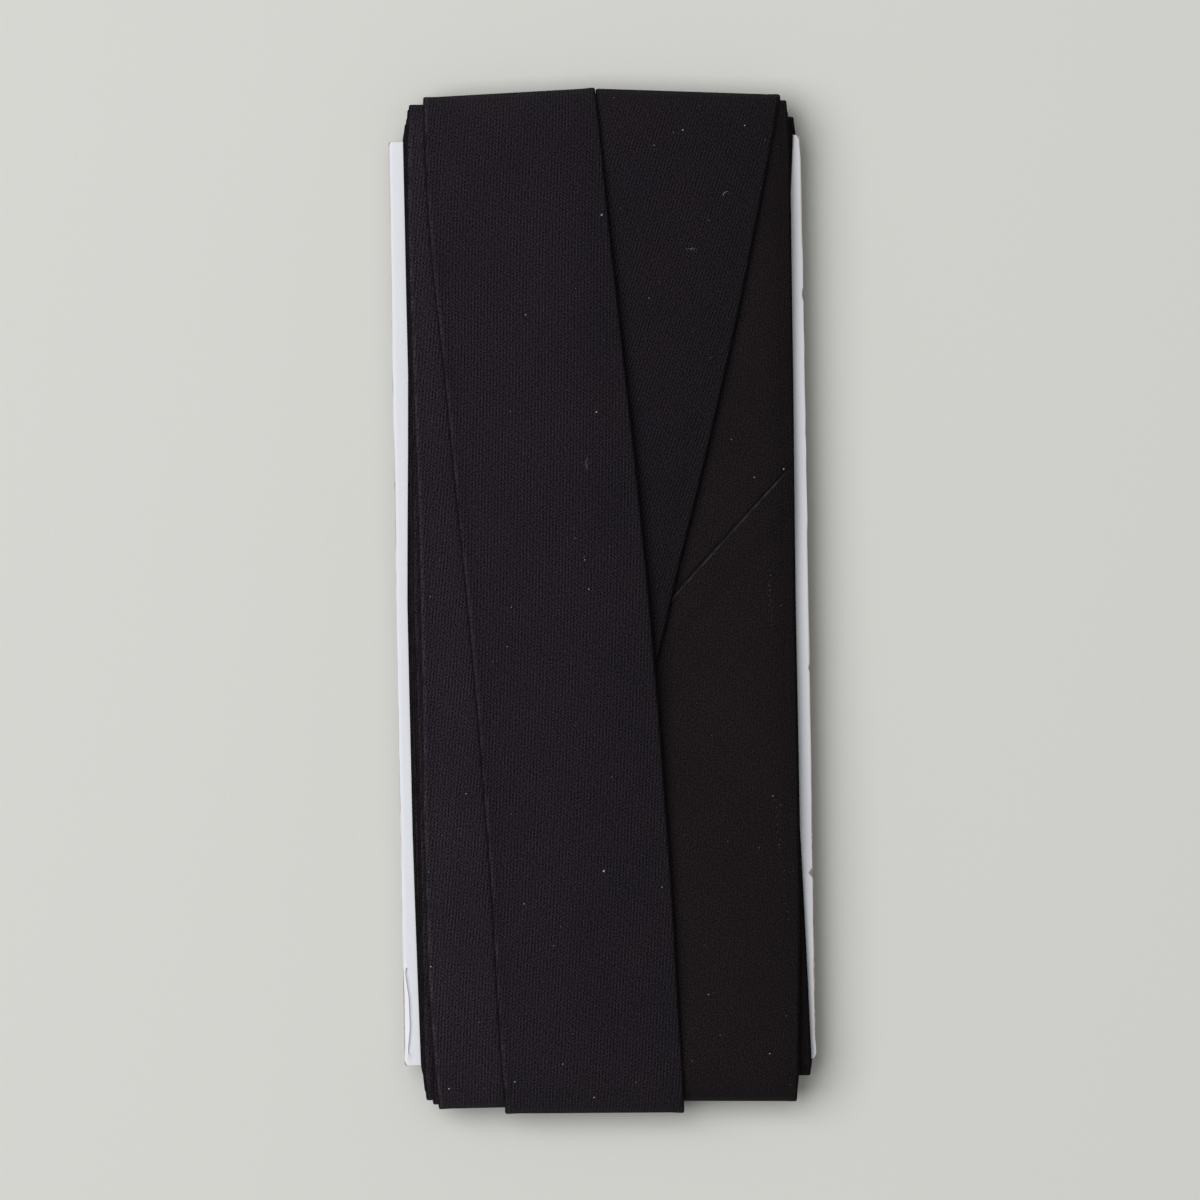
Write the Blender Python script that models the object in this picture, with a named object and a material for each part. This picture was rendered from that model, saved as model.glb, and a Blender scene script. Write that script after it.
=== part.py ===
"""A roll of bias binding: folded bias tape wound lengthwise round a flat card, lying on its back.

The card lies level, its long side along Y and its front face up. The tape runs down the front, round
the bottom end, up the back and round the top end, in two columns side by side. The last turns cross
from one column to the other. Metres, +Z up, with the origin under the middle of the pack.
"""

import math
from typing import NamedTuple

import bmesh
import bpy

MM = 0.001

CARD_WIDTH = 70.0 * MM
CARD_LENGTH = 157.0 * MM
CARD_THICKNESS = 1.2 * MM
CARD_CORNER = 0.8 * MM
CARD_CORNER_STEPS = 3

TAPE_THICKNESS = 0.55 * MM
CLEARANCE = 0.3 * MM
LAYERS_BEHIND = 10

BEND_START = 2.5 * MM
ARC_STEPS = 6
FACE_STEPS = 10
SLOT_CORNER = 1.6
SMOOTH_BELOW = math.radians(40)

HALF_LENGTH = CARD_LENGTH / 2
FLAT_END = HALF_LENGTH - BEND_START
ROW_END = 86.0 * MM
FIRST_LAYER = CARD_THICKNESS / 2 + CLEARANCE
CARD_MIDDLE = FIRST_LAYER + LAYERS_BEHIND * TAPE_THICKNESS

FRONT = 1
BACK = -1

TAPE_COLOUR = (0.0122, 0.0100, 0.0131, 1.0)
TAPE_ROUGHNESS = 0.92
CARD_COLOUR = (0.74, 0.76, 0.80, 1.0)
CARD_ROUGHNESS = 0.62


class Leg(NamedTuple):
    """A run of tape along one face of the card. Each row of numbers is spread from the top to the bottom.

    left and right are its edges in millimetres from the card's middle line. layers_left and
    layers_right count the layers of tape from the card to the run's outer face, along each edge. A
    run goes from end to end of the card unless stop says where, in millimetres, it is cut.
    """

    face: int
    left: tuple
    right: tuple
    layers_left: tuple
    layers_right: tuple
    stop: float = None


class Strap(NamedTuple):
    """Turns that run on from leg to leg round the card's ends, the front legs down and the back legs up.

    Each row of top_reach and bottom_reach says how far the left and the right edge stand past the
    card's end, in millimetres. The underside lies deep_layers over the card and deep_reach past its
    ends, inside the turns that the strap lies on.
    """

    name: str
    legs: tuple
    top_reach: tuple
    bottom_reach: tuple
    deep_layers: float
    deep_reach: float
    closed: bool = False


INNER_LEFT = dict(left=(-32.0, -32.4, -33.0, -32.7, -31.8), right=(-1.5, -1.9, -2.5, -2.2, -1.3))
INNER_RIGHT = dict(left=(3.5, 1.4, 1.2, 2.6, 3.8), right=(34.0, 31.8, 31.6, 33.0, 34.2))
OUTER_LEFT = dict(left=(-31.5, -31.8, -32.1, -31.9, -30.9), right=(-1.0, -1.3, -1.6, -1.4, -0.4))
OUTER_RIGHT = dict(left=(2.1, 2.3, 2.1, 2.0, 0.9), right=(32.7, 32.8, 32.65, 32.6, 31.5))

COLUMNS = (
    Strap(
        name="inner_left",
        legs=(
            Leg(FRONT, **INNER_LEFT, layers_left=(3, 3), layers_right=(3, 3)),
            Leg(BACK, **INNER_LEFT, layers_left=(3, 3), layers_right=(3, 3)),
        ),
        top_reach=(2.7, 2.6),
        bottom_reach=(2.4, 2.4),
        deep_layers=0,
        deep_reach=0.3,
        closed=True,
    ),
    Strap(
        name="inner_right",
        legs=(
            Leg(FRONT, **INNER_RIGHT, layers_left=(3, 3), layers_right=(3, 3)),
            Leg(BACK, **INNER_RIGHT, layers_left=(3, 3), layers_right=(3, 3)),
        ),
        top_reach=(2.6, 2.8),
        bottom_reach=(2.4, 2.5),
        deep_layers=0,
        deep_reach=0.3,
        closed=True,
    ),
    Strap(
        name="outer_left",
        legs=(
            Leg(FRONT, **OUTER_LEFT, layers_left=(6, 6), layers_right=(6, 6)),
            Leg(BACK, **OUTER_LEFT, layers_left=(5.8, 5.8), layers_right=(5.8, 5.8)),
        ),
        top_reach=(5.1, 5.3),
        bottom_reach=(5.4, 5.6),
        deep_layers=1.3,
        deep_reach=1.3,
        closed=True,
    ),
    Strap(
        name="outer_right",
        legs=(
            Leg(FRONT, **OUTER_RIGHT, layers_left=(6, 6), layers_right=(6, 6)),
            Leg(BACK, **OUTER_RIGHT, layers_left=(5.8, 5.8), layers_right=(5.8, 5.8)),
        ),
        top_reach=(5.6, 5.6),
        bottom_reach=(6.3, 6.9),
        deep_layers=1.3,
        deep_reach=1.3,
        closed=True,
    ),
)

LAST_TURNS = (
    Strap(
        name="back_transfer",
        legs=(
            Leg(
                FRONT,
                left=(-30.0, -30.0),
                right=(-2.8, -2.8),
                layers_left=(5, 5),
                layers_right=(5, 5),
                stop=-58.0,
            ),
            Leg(
                BACK,
                left=(3.9, -3.0, -14.0, -24.6, -30.0),
                right=(30.8, 26.4, 15.4, 4.8, -2.8),
                layers_left=(5, 5),
                layers_right=(5, 5),
            ),
            Leg(
                FRONT,
                left=(3.9, 3.9),
                right=(30.8, 30.8),
                layers_left=(5, 5),
                layers_right=(5, 5),
                stop=58.0,
            ),
        ),
        top_reach=(4.3, 4.3),
        bottom_reach=(4.3, 4.3),
        deep_layers=3.4,
        deep_reach=3.1,
    ),
    Strap(
        name="crossing",
        legs=(
            Leg(
                BACK,
                left=(0.8, 2.9, 3.3, 2.9, 1.7),
                right=(31.4, 33.4, 33.8, 33.4, 32.3),
                layers_left=(7, 6.8),
                layers_right=(7, 6.8),
                stop=-72.0,
            ),
            Leg(
                FRONT,
                left=(0.8, -8.2, -19.2, -28.4, -30.3),
                right=(31.4, 22.6, 11.7, 2.2, 0.1),
                layers_left=(7, 7),
                layers_right=(7, 7),
            ),
            Leg(
                BACK,
                left=(-30.7, -31.2, -31.4, -31.2, -30.3),
                right=(-0.3, -0.8, -1.0, -0.8, 0.1),
                layers_left=(7, 7.4),
                layers_right=(7, 7.4),
                stop=70.0,
            ),
        ),
        top_reach=(7.7, 6.6),
        bottom_reach=(6.3, 6.3),
        deep_layers=3.8,
        deep_reach=3.4,
    ),
    Strap(
        name="left_over_crossing",
        legs=(
            Leg(
                BACK,
                left=(-31.2, -30.2, -30.2, -30.2, -30.2),
                right=(-0.5, -1.8, -1.8, -1.8, -1.8),
                layers_left=(6.4, 6.4),
                layers_right=(6.4, 6.4),
                stop=58.0,
            ),
            Leg(
                FRONT,
                left=(-31.2, -31.4, -31.0, -30.9, -28.9),
                right=(-0.5, -0.7, -0.4, -0.4, 1.5),
                layers_left=(7.3, 7.8, 8),
                layers_right=(7.5, 8, 8),
            ),
            Leg(
                BACK,
                left=(-29.0, -30.2, -30.6, -30.3, -28.9),
                right=(0.25, 0.2, -0.2, 0.1, 1.5),
                layers_left=(8.2, 8.5),
                layers_right=(8.2, 8.5),
                stop=66.0,
            ),
        ),
        top_reach=(5.9, 6.7),
        bottom_reach=(7.15, 7.0),
        deep_layers=4.2,
        deep_reach=3.8,
    ),
    Strap(
        name="last_strip",
        legs=(
            Leg(
                BACK,
                left=(-29.0, -28.6, -28.6, -28.6, -28.6),
                right=(0.25, -1.0, -1.0, -1.0, -1.0),
                layers_left=(7.6, 7.6),
                layers_right=(7.6, 7.6),
                stop=54.0,
            ),
            Leg(
                FRONT,
                left=(-29.0, -26.4, -22.95, -20.2, -18.05),
                right=(0.25, 4.2, 8.1, 10.75, 12.3),
                layers_left=(8.4, 9, 9),
                layers_right=(8.6, 8.5, 8.0),
            ),
            Leg(
                BACK,
                left=(-7.6, -8.6, -11.2, -14.4, -18.05),
                right=(22.8, 21.8, 19.2, 16.0, 12.3),
                layers_left=(10, 10),
                layers_right=(10, 10),
                stop=46.0,
            ),
        ),
        top_reach=(6.8, 8.35),
        bottom_reach=(7.9, 8.35),
        deep_layers=4.6,
        deep_reach=4.2,
    ),
)


def clear_scene():
    """Remove whatever the file holds before the roll is built."""
    for item in list(bpy.data.objects):
        bpy.data.objects.remove(item, do_unlink=True)


def make_material(name, colour, roughness):
    """A plain surface of one colour and roughness."""
    material = bpy.data.materials.new(name)
    material.use_nodes = True
    shader = material.node_tree.nodes["Principled BSDF"]
    shader.inputs["Base Color"].default_value = colour
    shader.inputs["Roughness"].default_value = roughness
    shader.inputs["Metallic"].default_value = 0.0
    return material


def smooth_row(values, y):
    """The value at height y up the pack, on a smooth curve through a row spread from top to bottom."""
    gaps = len(values) - 1
    place = (ROW_END - y) / (2 * ROW_END) * gaps
    first = min(max(math.floor(place), 0), gaps - 1)
    share = place - first
    before = values[max(first - 1, 0)]
    here, there = values[first], values[first + 1]
    beyond = values[min(first + 2, gaps)]
    start_slope = (there - before) / (2 if first > 0 else 1)
    end_slope = (beyond - here) / (2 if first + 2 <= gaps else 1)
    return (
        here * (1 + 2 * share) * (1 - share) ** 2
        + start_slope * share * (1 - share) ** 2
        + there * share**2 * (3 - 2 * share)
        - end_slope * share**2 * (1 - share)
    )


def height_of(layers, y):
    """How far a face lies from the card's middle, with so many layers of tape under it."""
    return FIRST_LAYER + smooth_row(layers, y) * TAPE_THICKNESS


def flat_places(leg, is_first, is_last):
    """Places along a leg's flat stretch, in the direction in which the tape runs."""
    start, finish = (FLAT_END, -FLAT_END) if leg.face == FRONT else (-FLAT_END, FLAT_END)
    if leg.stop is not None and is_first:
        start = leg.stop * MM
    if leg.stop is not None and is_last:
        finish = leg.stop * MM
    return [start + (finish - start) * step / FACE_STEPS for step in range(FACE_STEPS + 1)]


def bend_points(rows, layers, face, end, reach, corner):
    """Points round a card's end, from one leg to the next. Of rows and layers, each leg has its own."""
    points = []
    for step in range(1, 2 * ARC_STEPS):
        turn = math.pi / 2 * (1 - step / ARC_STEPS)
        outward = min(1.0, corner * math.cos(turn))
        upward = max(-1.0, min(1.0, corner * math.sin(turn)))
        y = end * (FLAT_END + (BEND_START + reach * MM) * outward)
        leg = 0 if turn >= 0 else 1
        points.append((smooth_row(rows[leg], y) * MM, y, face * height_of(layers[leg], y) * upward))
    return points


def edge_course(strap, edge, deep):
    """Points down one edge of a strap, 0 for the left and 1 for the right, on its outer or deep face."""
    corner = SLOT_CORNER if deep and strap.deep_layers == 0 else 1.0
    rows = [(leg.left, leg.right)[edge] for leg in strap.legs]
    layers = [(leg.layers_left, leg.layers_right)[edge] for leg in strap.legs]
    if deep:
        layers = [(strap.deep_layers, strap.deep_layers)] * len(strap.legs)
    points = []
    last = len(strap.legs) - 1
    for number, leg in enumerate(strap.legs):
        for y in flat_places(leg, number == 0, number == last):
            points.append((smooth_row(rows[number], y) * MM, y, leg.face * height_of(layers[number], y)))
        if number == last and not strap.closed:
            break
        following = (number + 1) % len(strap.legs)
        end = -1 if leg.face == FRONT else 1
        reach = (strap.bottom_reach if leg.face == FRONT else strap.top_reach)[edge]
        points += bend_points(
            (rows[number], rows[following]),
            (layers[number], layers[following]),
            leg.face,
            end,
            strap.deep_reach if deep else reach,
            corner,
        )
    return points


def make_strap(strap):
    """One closed body: the strap's outer face, its two edges and its deep underside."""
    courses = [
        edge_course(strap, edge=0, deep=False),
        edge_course(strap, edge=1, deep=False),
        edge_course(strap, edge=1, deep=True),
        edge_course(strap, edge=0, deep=True),
    ]
    shape = bmesh.new()
    rings = [[shape.verts.new(point) for point in corner_points] for corner_points in zip(*courses)]
    pairs = list(zip(rings, rings[1:]))
    if strap.closed:
        pairs.append((rings[-1], rings[0]))
    else:
        shape.faces.new(rings[0])
        shape.faces.new(rings[-1])
    for ring, following in pairs:
        for corner in range(4):
            after = (corner + 1) % 4
            shape.faces.new((ring[corner], ring[after], following[after], following[corner]))
    bmesh.ops.triangulate(shape, faces=shape.faces)
    bmesh.ops.recalc_face_normals(shape, faces=shape.faces)
    mesh = bpy.data.meshes.new(strap.name)
    shape.to_mesh(mesh)
    shape.free()
    mesh.shade_smooth()
    mesh.set_sharp_from_angle(angle=SMOOTH_BELOW)
    body = bpy.data.objects.new(strap.name, mesh)
    body.location.z = CARD_MIDDLE
    return body


def hide_guide(item):
    """A body that only shapes another: drawn as wire and left out of the part."""
    item.hide_render = True
    item.display_type = "WIRE"


def make_wound_binding(material):
    """The wound tape: every column and strap joined into one body round the card's slot."""
    bodies = [make_strap(strap) for strap in COLUMNS + LAST_TURNS]
    binding = bodies[0]
    binding.name = "wound_binding"
    binding.data.name = "wound_binding"
    bpy.context.scene.collection.objects.link(binding)
    for body in bodies[1:]:
        bpy.context.scene.collection.objects.link(body)
        hide_guide(body)
        join = binding.modifiers.new("join " + body.name, "BOOLEAN")
        join.operation = "UNION"
        join.solver = "EXACT"
        join.object = body
    binding.data.materials.append(material)


def make_card(material):
    """The flat card, its four corners a little rounded."""
    shape = bmesh.new()
    bmesh.ops.create_cube(shape, size=1.0)
    bmesh.ops.scale(shape, vec=(CARD_WIDTH, CARD_LENGTH, CARD_THICKNESS), verts=shape.verts)
    corners = [edge for edge in shape.edges if edge.verts[0].co.z * edge.verts[1].co.z < 0]
    bmesh.ops.bevel(
        shape,
        geom=corners,
        offset=CARD_CORNER,
        segments=CARD_CORNER_STEPS,
        profile=0.5,
        affect="EDGES",
    )
    mesh = bpy.data.meshes.new("card")
    shape.to_mesh(mesh)
    shape.free()
    card = bpy.data.objects.new("card", mesh)
    card.location.z = CARD_MIDDLE
    bpy.context.scene.collection.objects.link(card)
    card.data.materials.append(material)


def main():
    """Build the two pieces of the roll."""
    clear_scene()
    make_card(make_material("card paper", CARD_COLOUR, CARD_ROUGHNESS))
    make_wound_binding(make_material("bias tape", TAPE_COLOUR, TAPE_ROUGHNESS))


main()
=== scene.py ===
"""The looks of a roll of bias binding: folded tape wound on a card, its lint, and a pale stage."""

import math
from typing import NamedTuple

import bmesh
import bpy
import numpy as np
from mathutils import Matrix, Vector


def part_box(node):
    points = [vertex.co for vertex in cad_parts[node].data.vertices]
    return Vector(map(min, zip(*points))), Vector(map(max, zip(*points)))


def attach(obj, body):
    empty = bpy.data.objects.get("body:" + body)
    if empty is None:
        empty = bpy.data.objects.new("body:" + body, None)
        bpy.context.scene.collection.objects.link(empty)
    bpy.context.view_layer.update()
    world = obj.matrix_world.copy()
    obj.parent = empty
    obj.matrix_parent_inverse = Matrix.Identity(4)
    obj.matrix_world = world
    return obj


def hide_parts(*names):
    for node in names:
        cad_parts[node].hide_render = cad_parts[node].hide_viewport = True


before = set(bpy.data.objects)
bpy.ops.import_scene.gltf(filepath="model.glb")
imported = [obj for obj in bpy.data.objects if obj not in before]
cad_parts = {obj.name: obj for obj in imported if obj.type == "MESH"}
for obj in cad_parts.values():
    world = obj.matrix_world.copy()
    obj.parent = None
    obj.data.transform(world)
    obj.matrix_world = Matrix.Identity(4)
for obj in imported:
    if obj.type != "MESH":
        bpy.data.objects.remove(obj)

bl_info = {
    "name": "Bias binding roll",
    "version": (1, 0, 0),
    "blender": (4, 5, 0),
    "location": "3D View > Sidebar > Binding",
    "description": "Winds folded bias tape on a card and dresses it with weave, seam and lint",
    "category": "Object",
}

bpy.context.view_layer.update()

MM = 0.001

CARD_LOW, CARD_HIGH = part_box("card")
WOUND_LOW, WOUND_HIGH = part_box("wound_binding")
CARD_MIDDLE = (CARD_LOW.z + CARD_HIGH.z) / 2
CARD_THICKNESS = CARD_HIGH.z - CARD_LOW.z
HALF_LENGTH = CARD_HIGH.y

FRONT = 1
BACK = -1

# How the tape is laid, in millimetres from the card's middle. Each row of places runs evenly from the
# top end of the pack, ROW_END above its middle, to the bottom end.
ROW_END = 86.0
ROW_PLACES = 5


class Run(NamedTuple):
    """The left and right edge of the tape along one face of the card, a row of distances for each."""

    left: tuple
    right: tuple


class Turn(NamedTuple):
    """Once round the card: down the front, round the bottom end, and up the back.

    down and up are the runs. top_reach and bottom_reach say how far the outer face stands past the
    card's ends, at the left and the right edge, before the front run and after it. shown turns are
    laid with closer stations, because their faces are seen. tone is how bright the front is painted,
    painted light and shade that follow the light from the left; warmth is how far it leans from violet
    to brown, lift how far the run springs off what it lies on, and puffs how high its left and right
    folds bulge.
    """

    name: str
    down: Run
    up: Run
    top_reach: tuple
    bottom_reach: tuple
    shown: bool = False
    tone: float = 0.85
    warmth: float = 0.3
    lift: float = 0.0
    puffs: tuple = (0.0, 0.0)


LEFT_UNDER = Run((-32.6, -32.4, -33.1, -32.85, -32.1), (-1.2, -1.9, -2.5, -2.2, -1.0))
RIGHT_UNDER = Run((3.2, 1.4, 1.2, 2.6, 3.5), (34.1, 32.0, 31.6, 33.0, 34.35))
LEFT_OVER = Run((-32.0, -31.8, -32.1, -31.9, -31.7), (-0.7, -1.3, -1.6, -1.4, -0.1))
RIGHT_OVER = Run((1.8, 2.3, 2.1, 2.0, 0.6), (33.0, 32.9, 32.65, 32.6, 31.8))
CROSSING = Run((0.05, -8.2, -19.2, -28.4, -30.6), (31.95, 22.8, 11.9, 2.1, 0.4))
LEFT_TOP = Run(
    (-31.7, -32.0, -31.65, -31.3, -31.15, -31.2, -30.9, -30.7, -29.6),
    (-1.2, -1.5, -1.15, -0.8, -0.65, -0.7, -0.4, -0.2, 0.9),
)
LAST_STRIP = Run(
    (-29.3, -28.5, -26.8, -24.95, -23.15, -21.6, -20.2, -19.35, -18.35),
    (0.55, 2.25, 4.3, 6.25, 7.95, 9.4, 10.75, 11.6, 12.6),
)
TAIL = Run((-7.6, -8.6, -11.2, -14.4, -18.35), (22.8, 21.8, 19.2, 16.0, 12.6))
TAIL_STOP = 46.0
HEAD_START = 62.0


def shifted(run, left_shift, right_shift=None):
    """The same run moved sideways, its right edge by its own amount where one is given."""
    if right_shift is None:
        right_shift = left_shift
    return Run(tuple(x + left_shift for x in run.left), tuple(x + right_shift for x in run.right))


def joining_run(top, bottom, bow):
    """The run up the back that joins a front run's bottom to the next front run's top."""
    shares = np.linspace(0.0, 1.0, ROW_PLACES)
    swell = bow * np.sin(np.pi * shares)
    rows = []
    for edge in (0, 1):
        line = top[edge][0] * (1 - shares) + bottom[edge][-1] * shares
        rows.append(tuple(line + swell))
    return Run(*rows)


def plan_turns():
    """Every turn of the tape, from the one that lies on the card to the one whose end shows."""
    downs = [
        ("left_under_1", shifted(LEFT_UNDER, 0.35), (0.8, 0.8), (0.9, 0.9)),
        ("left_under_2", shifted(LEFT_UNDER, 0.0, -0.2), (1.6, 1.6), (1.6, 1.6)),
        ("left_under_3", shifted(LEFT_UNDER, 0.15, 0.1), (2.7, 2.6), (2.4, 2.4)),
        ("right_under_1", shifted(RIGHT_UNDER, 0.1, -0.3), (0.9, 0.9), (0.9, 0.9)),
        ("right_under_2", shifted(RIGHT_UNDER, -0.2, -0.1), (1.8, 1.8), (1.65, 1.65)),
        ("right_under_3", RIGHT_UNDER, (2.6, 2.8), (2.4, 2.5)),
        ("left_over_1", shifted(LEFT_OVER, -0.25), (3.6, 3.6), (4.2, 4.3)),
        ("left_over_2", shifted(LEFT_OVER, 0.3), (4.4, 4.5), (5.0, 5.0)),
        ("left_over_3", LEFT_OVER, (5.1, 5.3), (5.6, 5.7)),
        ("right_over_1", shifted(RIGHT_OVER, 0.2), (3.8, 3.8), (4.3, 4.4)),
        ("right_over_2", shifted(RIGHT_OVER, -0.3), (4.7, 4.7), (5.2, 5.4)),
        ("right_over_3", RIGHT_OVER, (5.6, 5.6), (6.3, 6.9)),
        ("crossing", CROSSING, (8.2, 6.6), (6.4, 6.4)),
        ("left_top", LEFT_TOP, (5.9, 6.7), (7.15, 7.0)),
        ("last_strip", LAST_STRIP, (7.15, 8.3), (8.15, 8.5)),
    ]
    # Tone, warmth, lift and fold puffs of some turns. The tones are painted light and shade from the light on the
    # left: the top turn on the left is painted paler, the turns that show on the right darker, and the under turn
    # whose edge shows at the right darkest.
    finishes = {
        "right_under_3": (0.55, 0.9),
        "left_over_3": (0.84, 0.1, 0.0, (0.25, 0.0)),
        "right_over_3": (0.68, 1.0, 0.0, (0.0, 0.2)),
        "crossing": (0.78, 0.05, 0.3, (0.0, 0.38)),
        "left_top": (1.2, 0.0, 0.15, (0.35, 0.0)),
        "last_strip": (1.0, 0.0, 0.9, (0.36, 0.42)),
    }
    shown_names = ("right_over_3", "crossing", "left_top", "last_strip")
    turns = []
    for number, (name, down, top_reach, bottom_reach) in enumerate(downs):
        if number + 1 < len(downs):
            following = downs[number + 1][1]
            crosses = abs(following.left[0] - down.left[-1]) > 10.0
            bow = 0.0 if crosses else 0.7 * math.copysign(1.0, sum(down.left))
            up = joining_run(following, down, bow)
        else:
            up = TAIL
        shown = name in shown_names
        turns.append(Turn(name, down, up, top_reach, bottom_reach, shown, *finishes.get(name, ())))
    return turns


def smooth_row(values, y):
    """The values at heights y up the pack, on a smooth curve through a row spread top to bottom."""
    values = np.asarray(values, float)
    gaps = len(values) - 1
    place = (ROW_END - np.asarray(y, float)) / (2 * ROW_END) * gaps
    first = np.clip(np.floor(place).astype(int), 0, gaps - 1)
    share = place - first
    before = values[np.maximum(first - 1, 0)]
    here, there = values[first], values[first + 1]
    beyond = values[np.minimum(first + 2, gaps)]
    start_slope = (there - before) / np.where(first > 0, 2, 1)
    end_slope = (beyond - here) / np.where(first + 2 <= gaps, 2, 1)
    return (
        here * (1 + 2 * share) * (1 - share) ** 2
        + start_slope * share * (1 - share) ** 2
        + there * share**2 * (3 - 2 * share)
        - end_slope * share**2 * (1 - share)
    )


class Cover:
    """How high the tape already lies over one face of the card, on a grid of millimetres."""

    HALF_WIDTH = 37.0
    HALF_HEIGHT = 80.0
    PITCH = 1.0

    def __init__(self):
        self.xs = np.arange(-self.HALF_WIDTH, self.HALF_WIDTH + self.PITCH, self.PITCH)
        self.ys = np.arange(-self.HALF_HEIGHT, self.HALF_HEIGHT + self.PITCH, self.PITCH)
        self.heights = np.zeros((len(self.ys), len(self.xs)))

    def under(self, xs, ys):
        """The height at each point, from the grid's four corners round it."""
        across = np.clip((xs - self.xs[0]) / self.PITCH, 0, len(self.xs) - 1.001)
        up = np.clip((ys - self.ys[0]) / self.PITCH, 0, len(self.ys) - 1.001)
        column, row = across.astype(int), up.astype(int)
        across, up = across - column, up - row
        low = self.heights[row, column] * (1 - across) + self.heights[row, column + 1] * across
        high = self.heights[row + 1, column] * (1 - across) + self.heights[row + 1, column + 1] * across
        return low * (1 - up) + high * up

    def add(self, xs, ys, tops):
        """Raises the grid to the outer face of a run, given by rows of points in order of ys."""
        order = np.argsort(ys)
        ys, xs, tops = ys[order], xs[order], tops[order]
        for number, y in enumerate(self.ys):
            place = np.interp(y, ys, np.arange(len(ys)))
            if y < ys[0] - 4.0 or y > ys[-1] + 4.0:
                continue
            first = min(int(place), len(ys) - 2)
            share = place - first
            row_xs = xs[first] * (1 - share) + xs[first + 1] * share
            row_tops = tops[first] * (1 - share) + tops[first + 1] * share
            inside = (self.xs > row_xs[0] - 0.3) & (self.xs < row_xs[-1] + 0.3)
            raised = np.interp(self.xs[inside], row_xs, row_tops)
            self.heights[number, inside] = np.maximum(self.heights[number, inside], raised)


def drape(base, rounds):
    """Lays a run over what is under it: pulled straight between the high places, and never below them."""
    lying = base.copy()
    for _ in range(rounds):
        eased = lying.copy()
        eased[1:-1] = 0.25 * lying[:-2] + 0.5 * lying[1:-1] + 0.25 * lying[2:]
        across = eased.copy()
        across[:, 1:-1] = 0.25 * eased[:, :-2] + 0.5 * eased[:, 1:-1] + 0.25 * eased[:, 2:]
        lying = np.maximum(base, across)
    return lying


def slow_wander(rng, count, spacing, length):
    """A smooth random line of about unit size, with waves of about the given length."""
    knots = max(int(count * spacing / length) + 2, 2)
    values = rng.normal(size=knots)
    places = np.linspace(0, knots - 1, count)
    first = np.minimum(places.astype(int), knots - 2)
    share = places - first
    share = share * share * (3 - 2 * share)
    return values[first] * (1 - share) + values[first + 1] * share


class Stretch(NamedTuple):
    """A run that has been laid: its name, the run, the face it lies on, and its points by station.

    finish holds the tone, the warmth and the bulge of the left and the right fold at each station.
    """

    name: str
    run: Run
    face: int
    points: np.ndarray
    finish: np.ndarray


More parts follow.
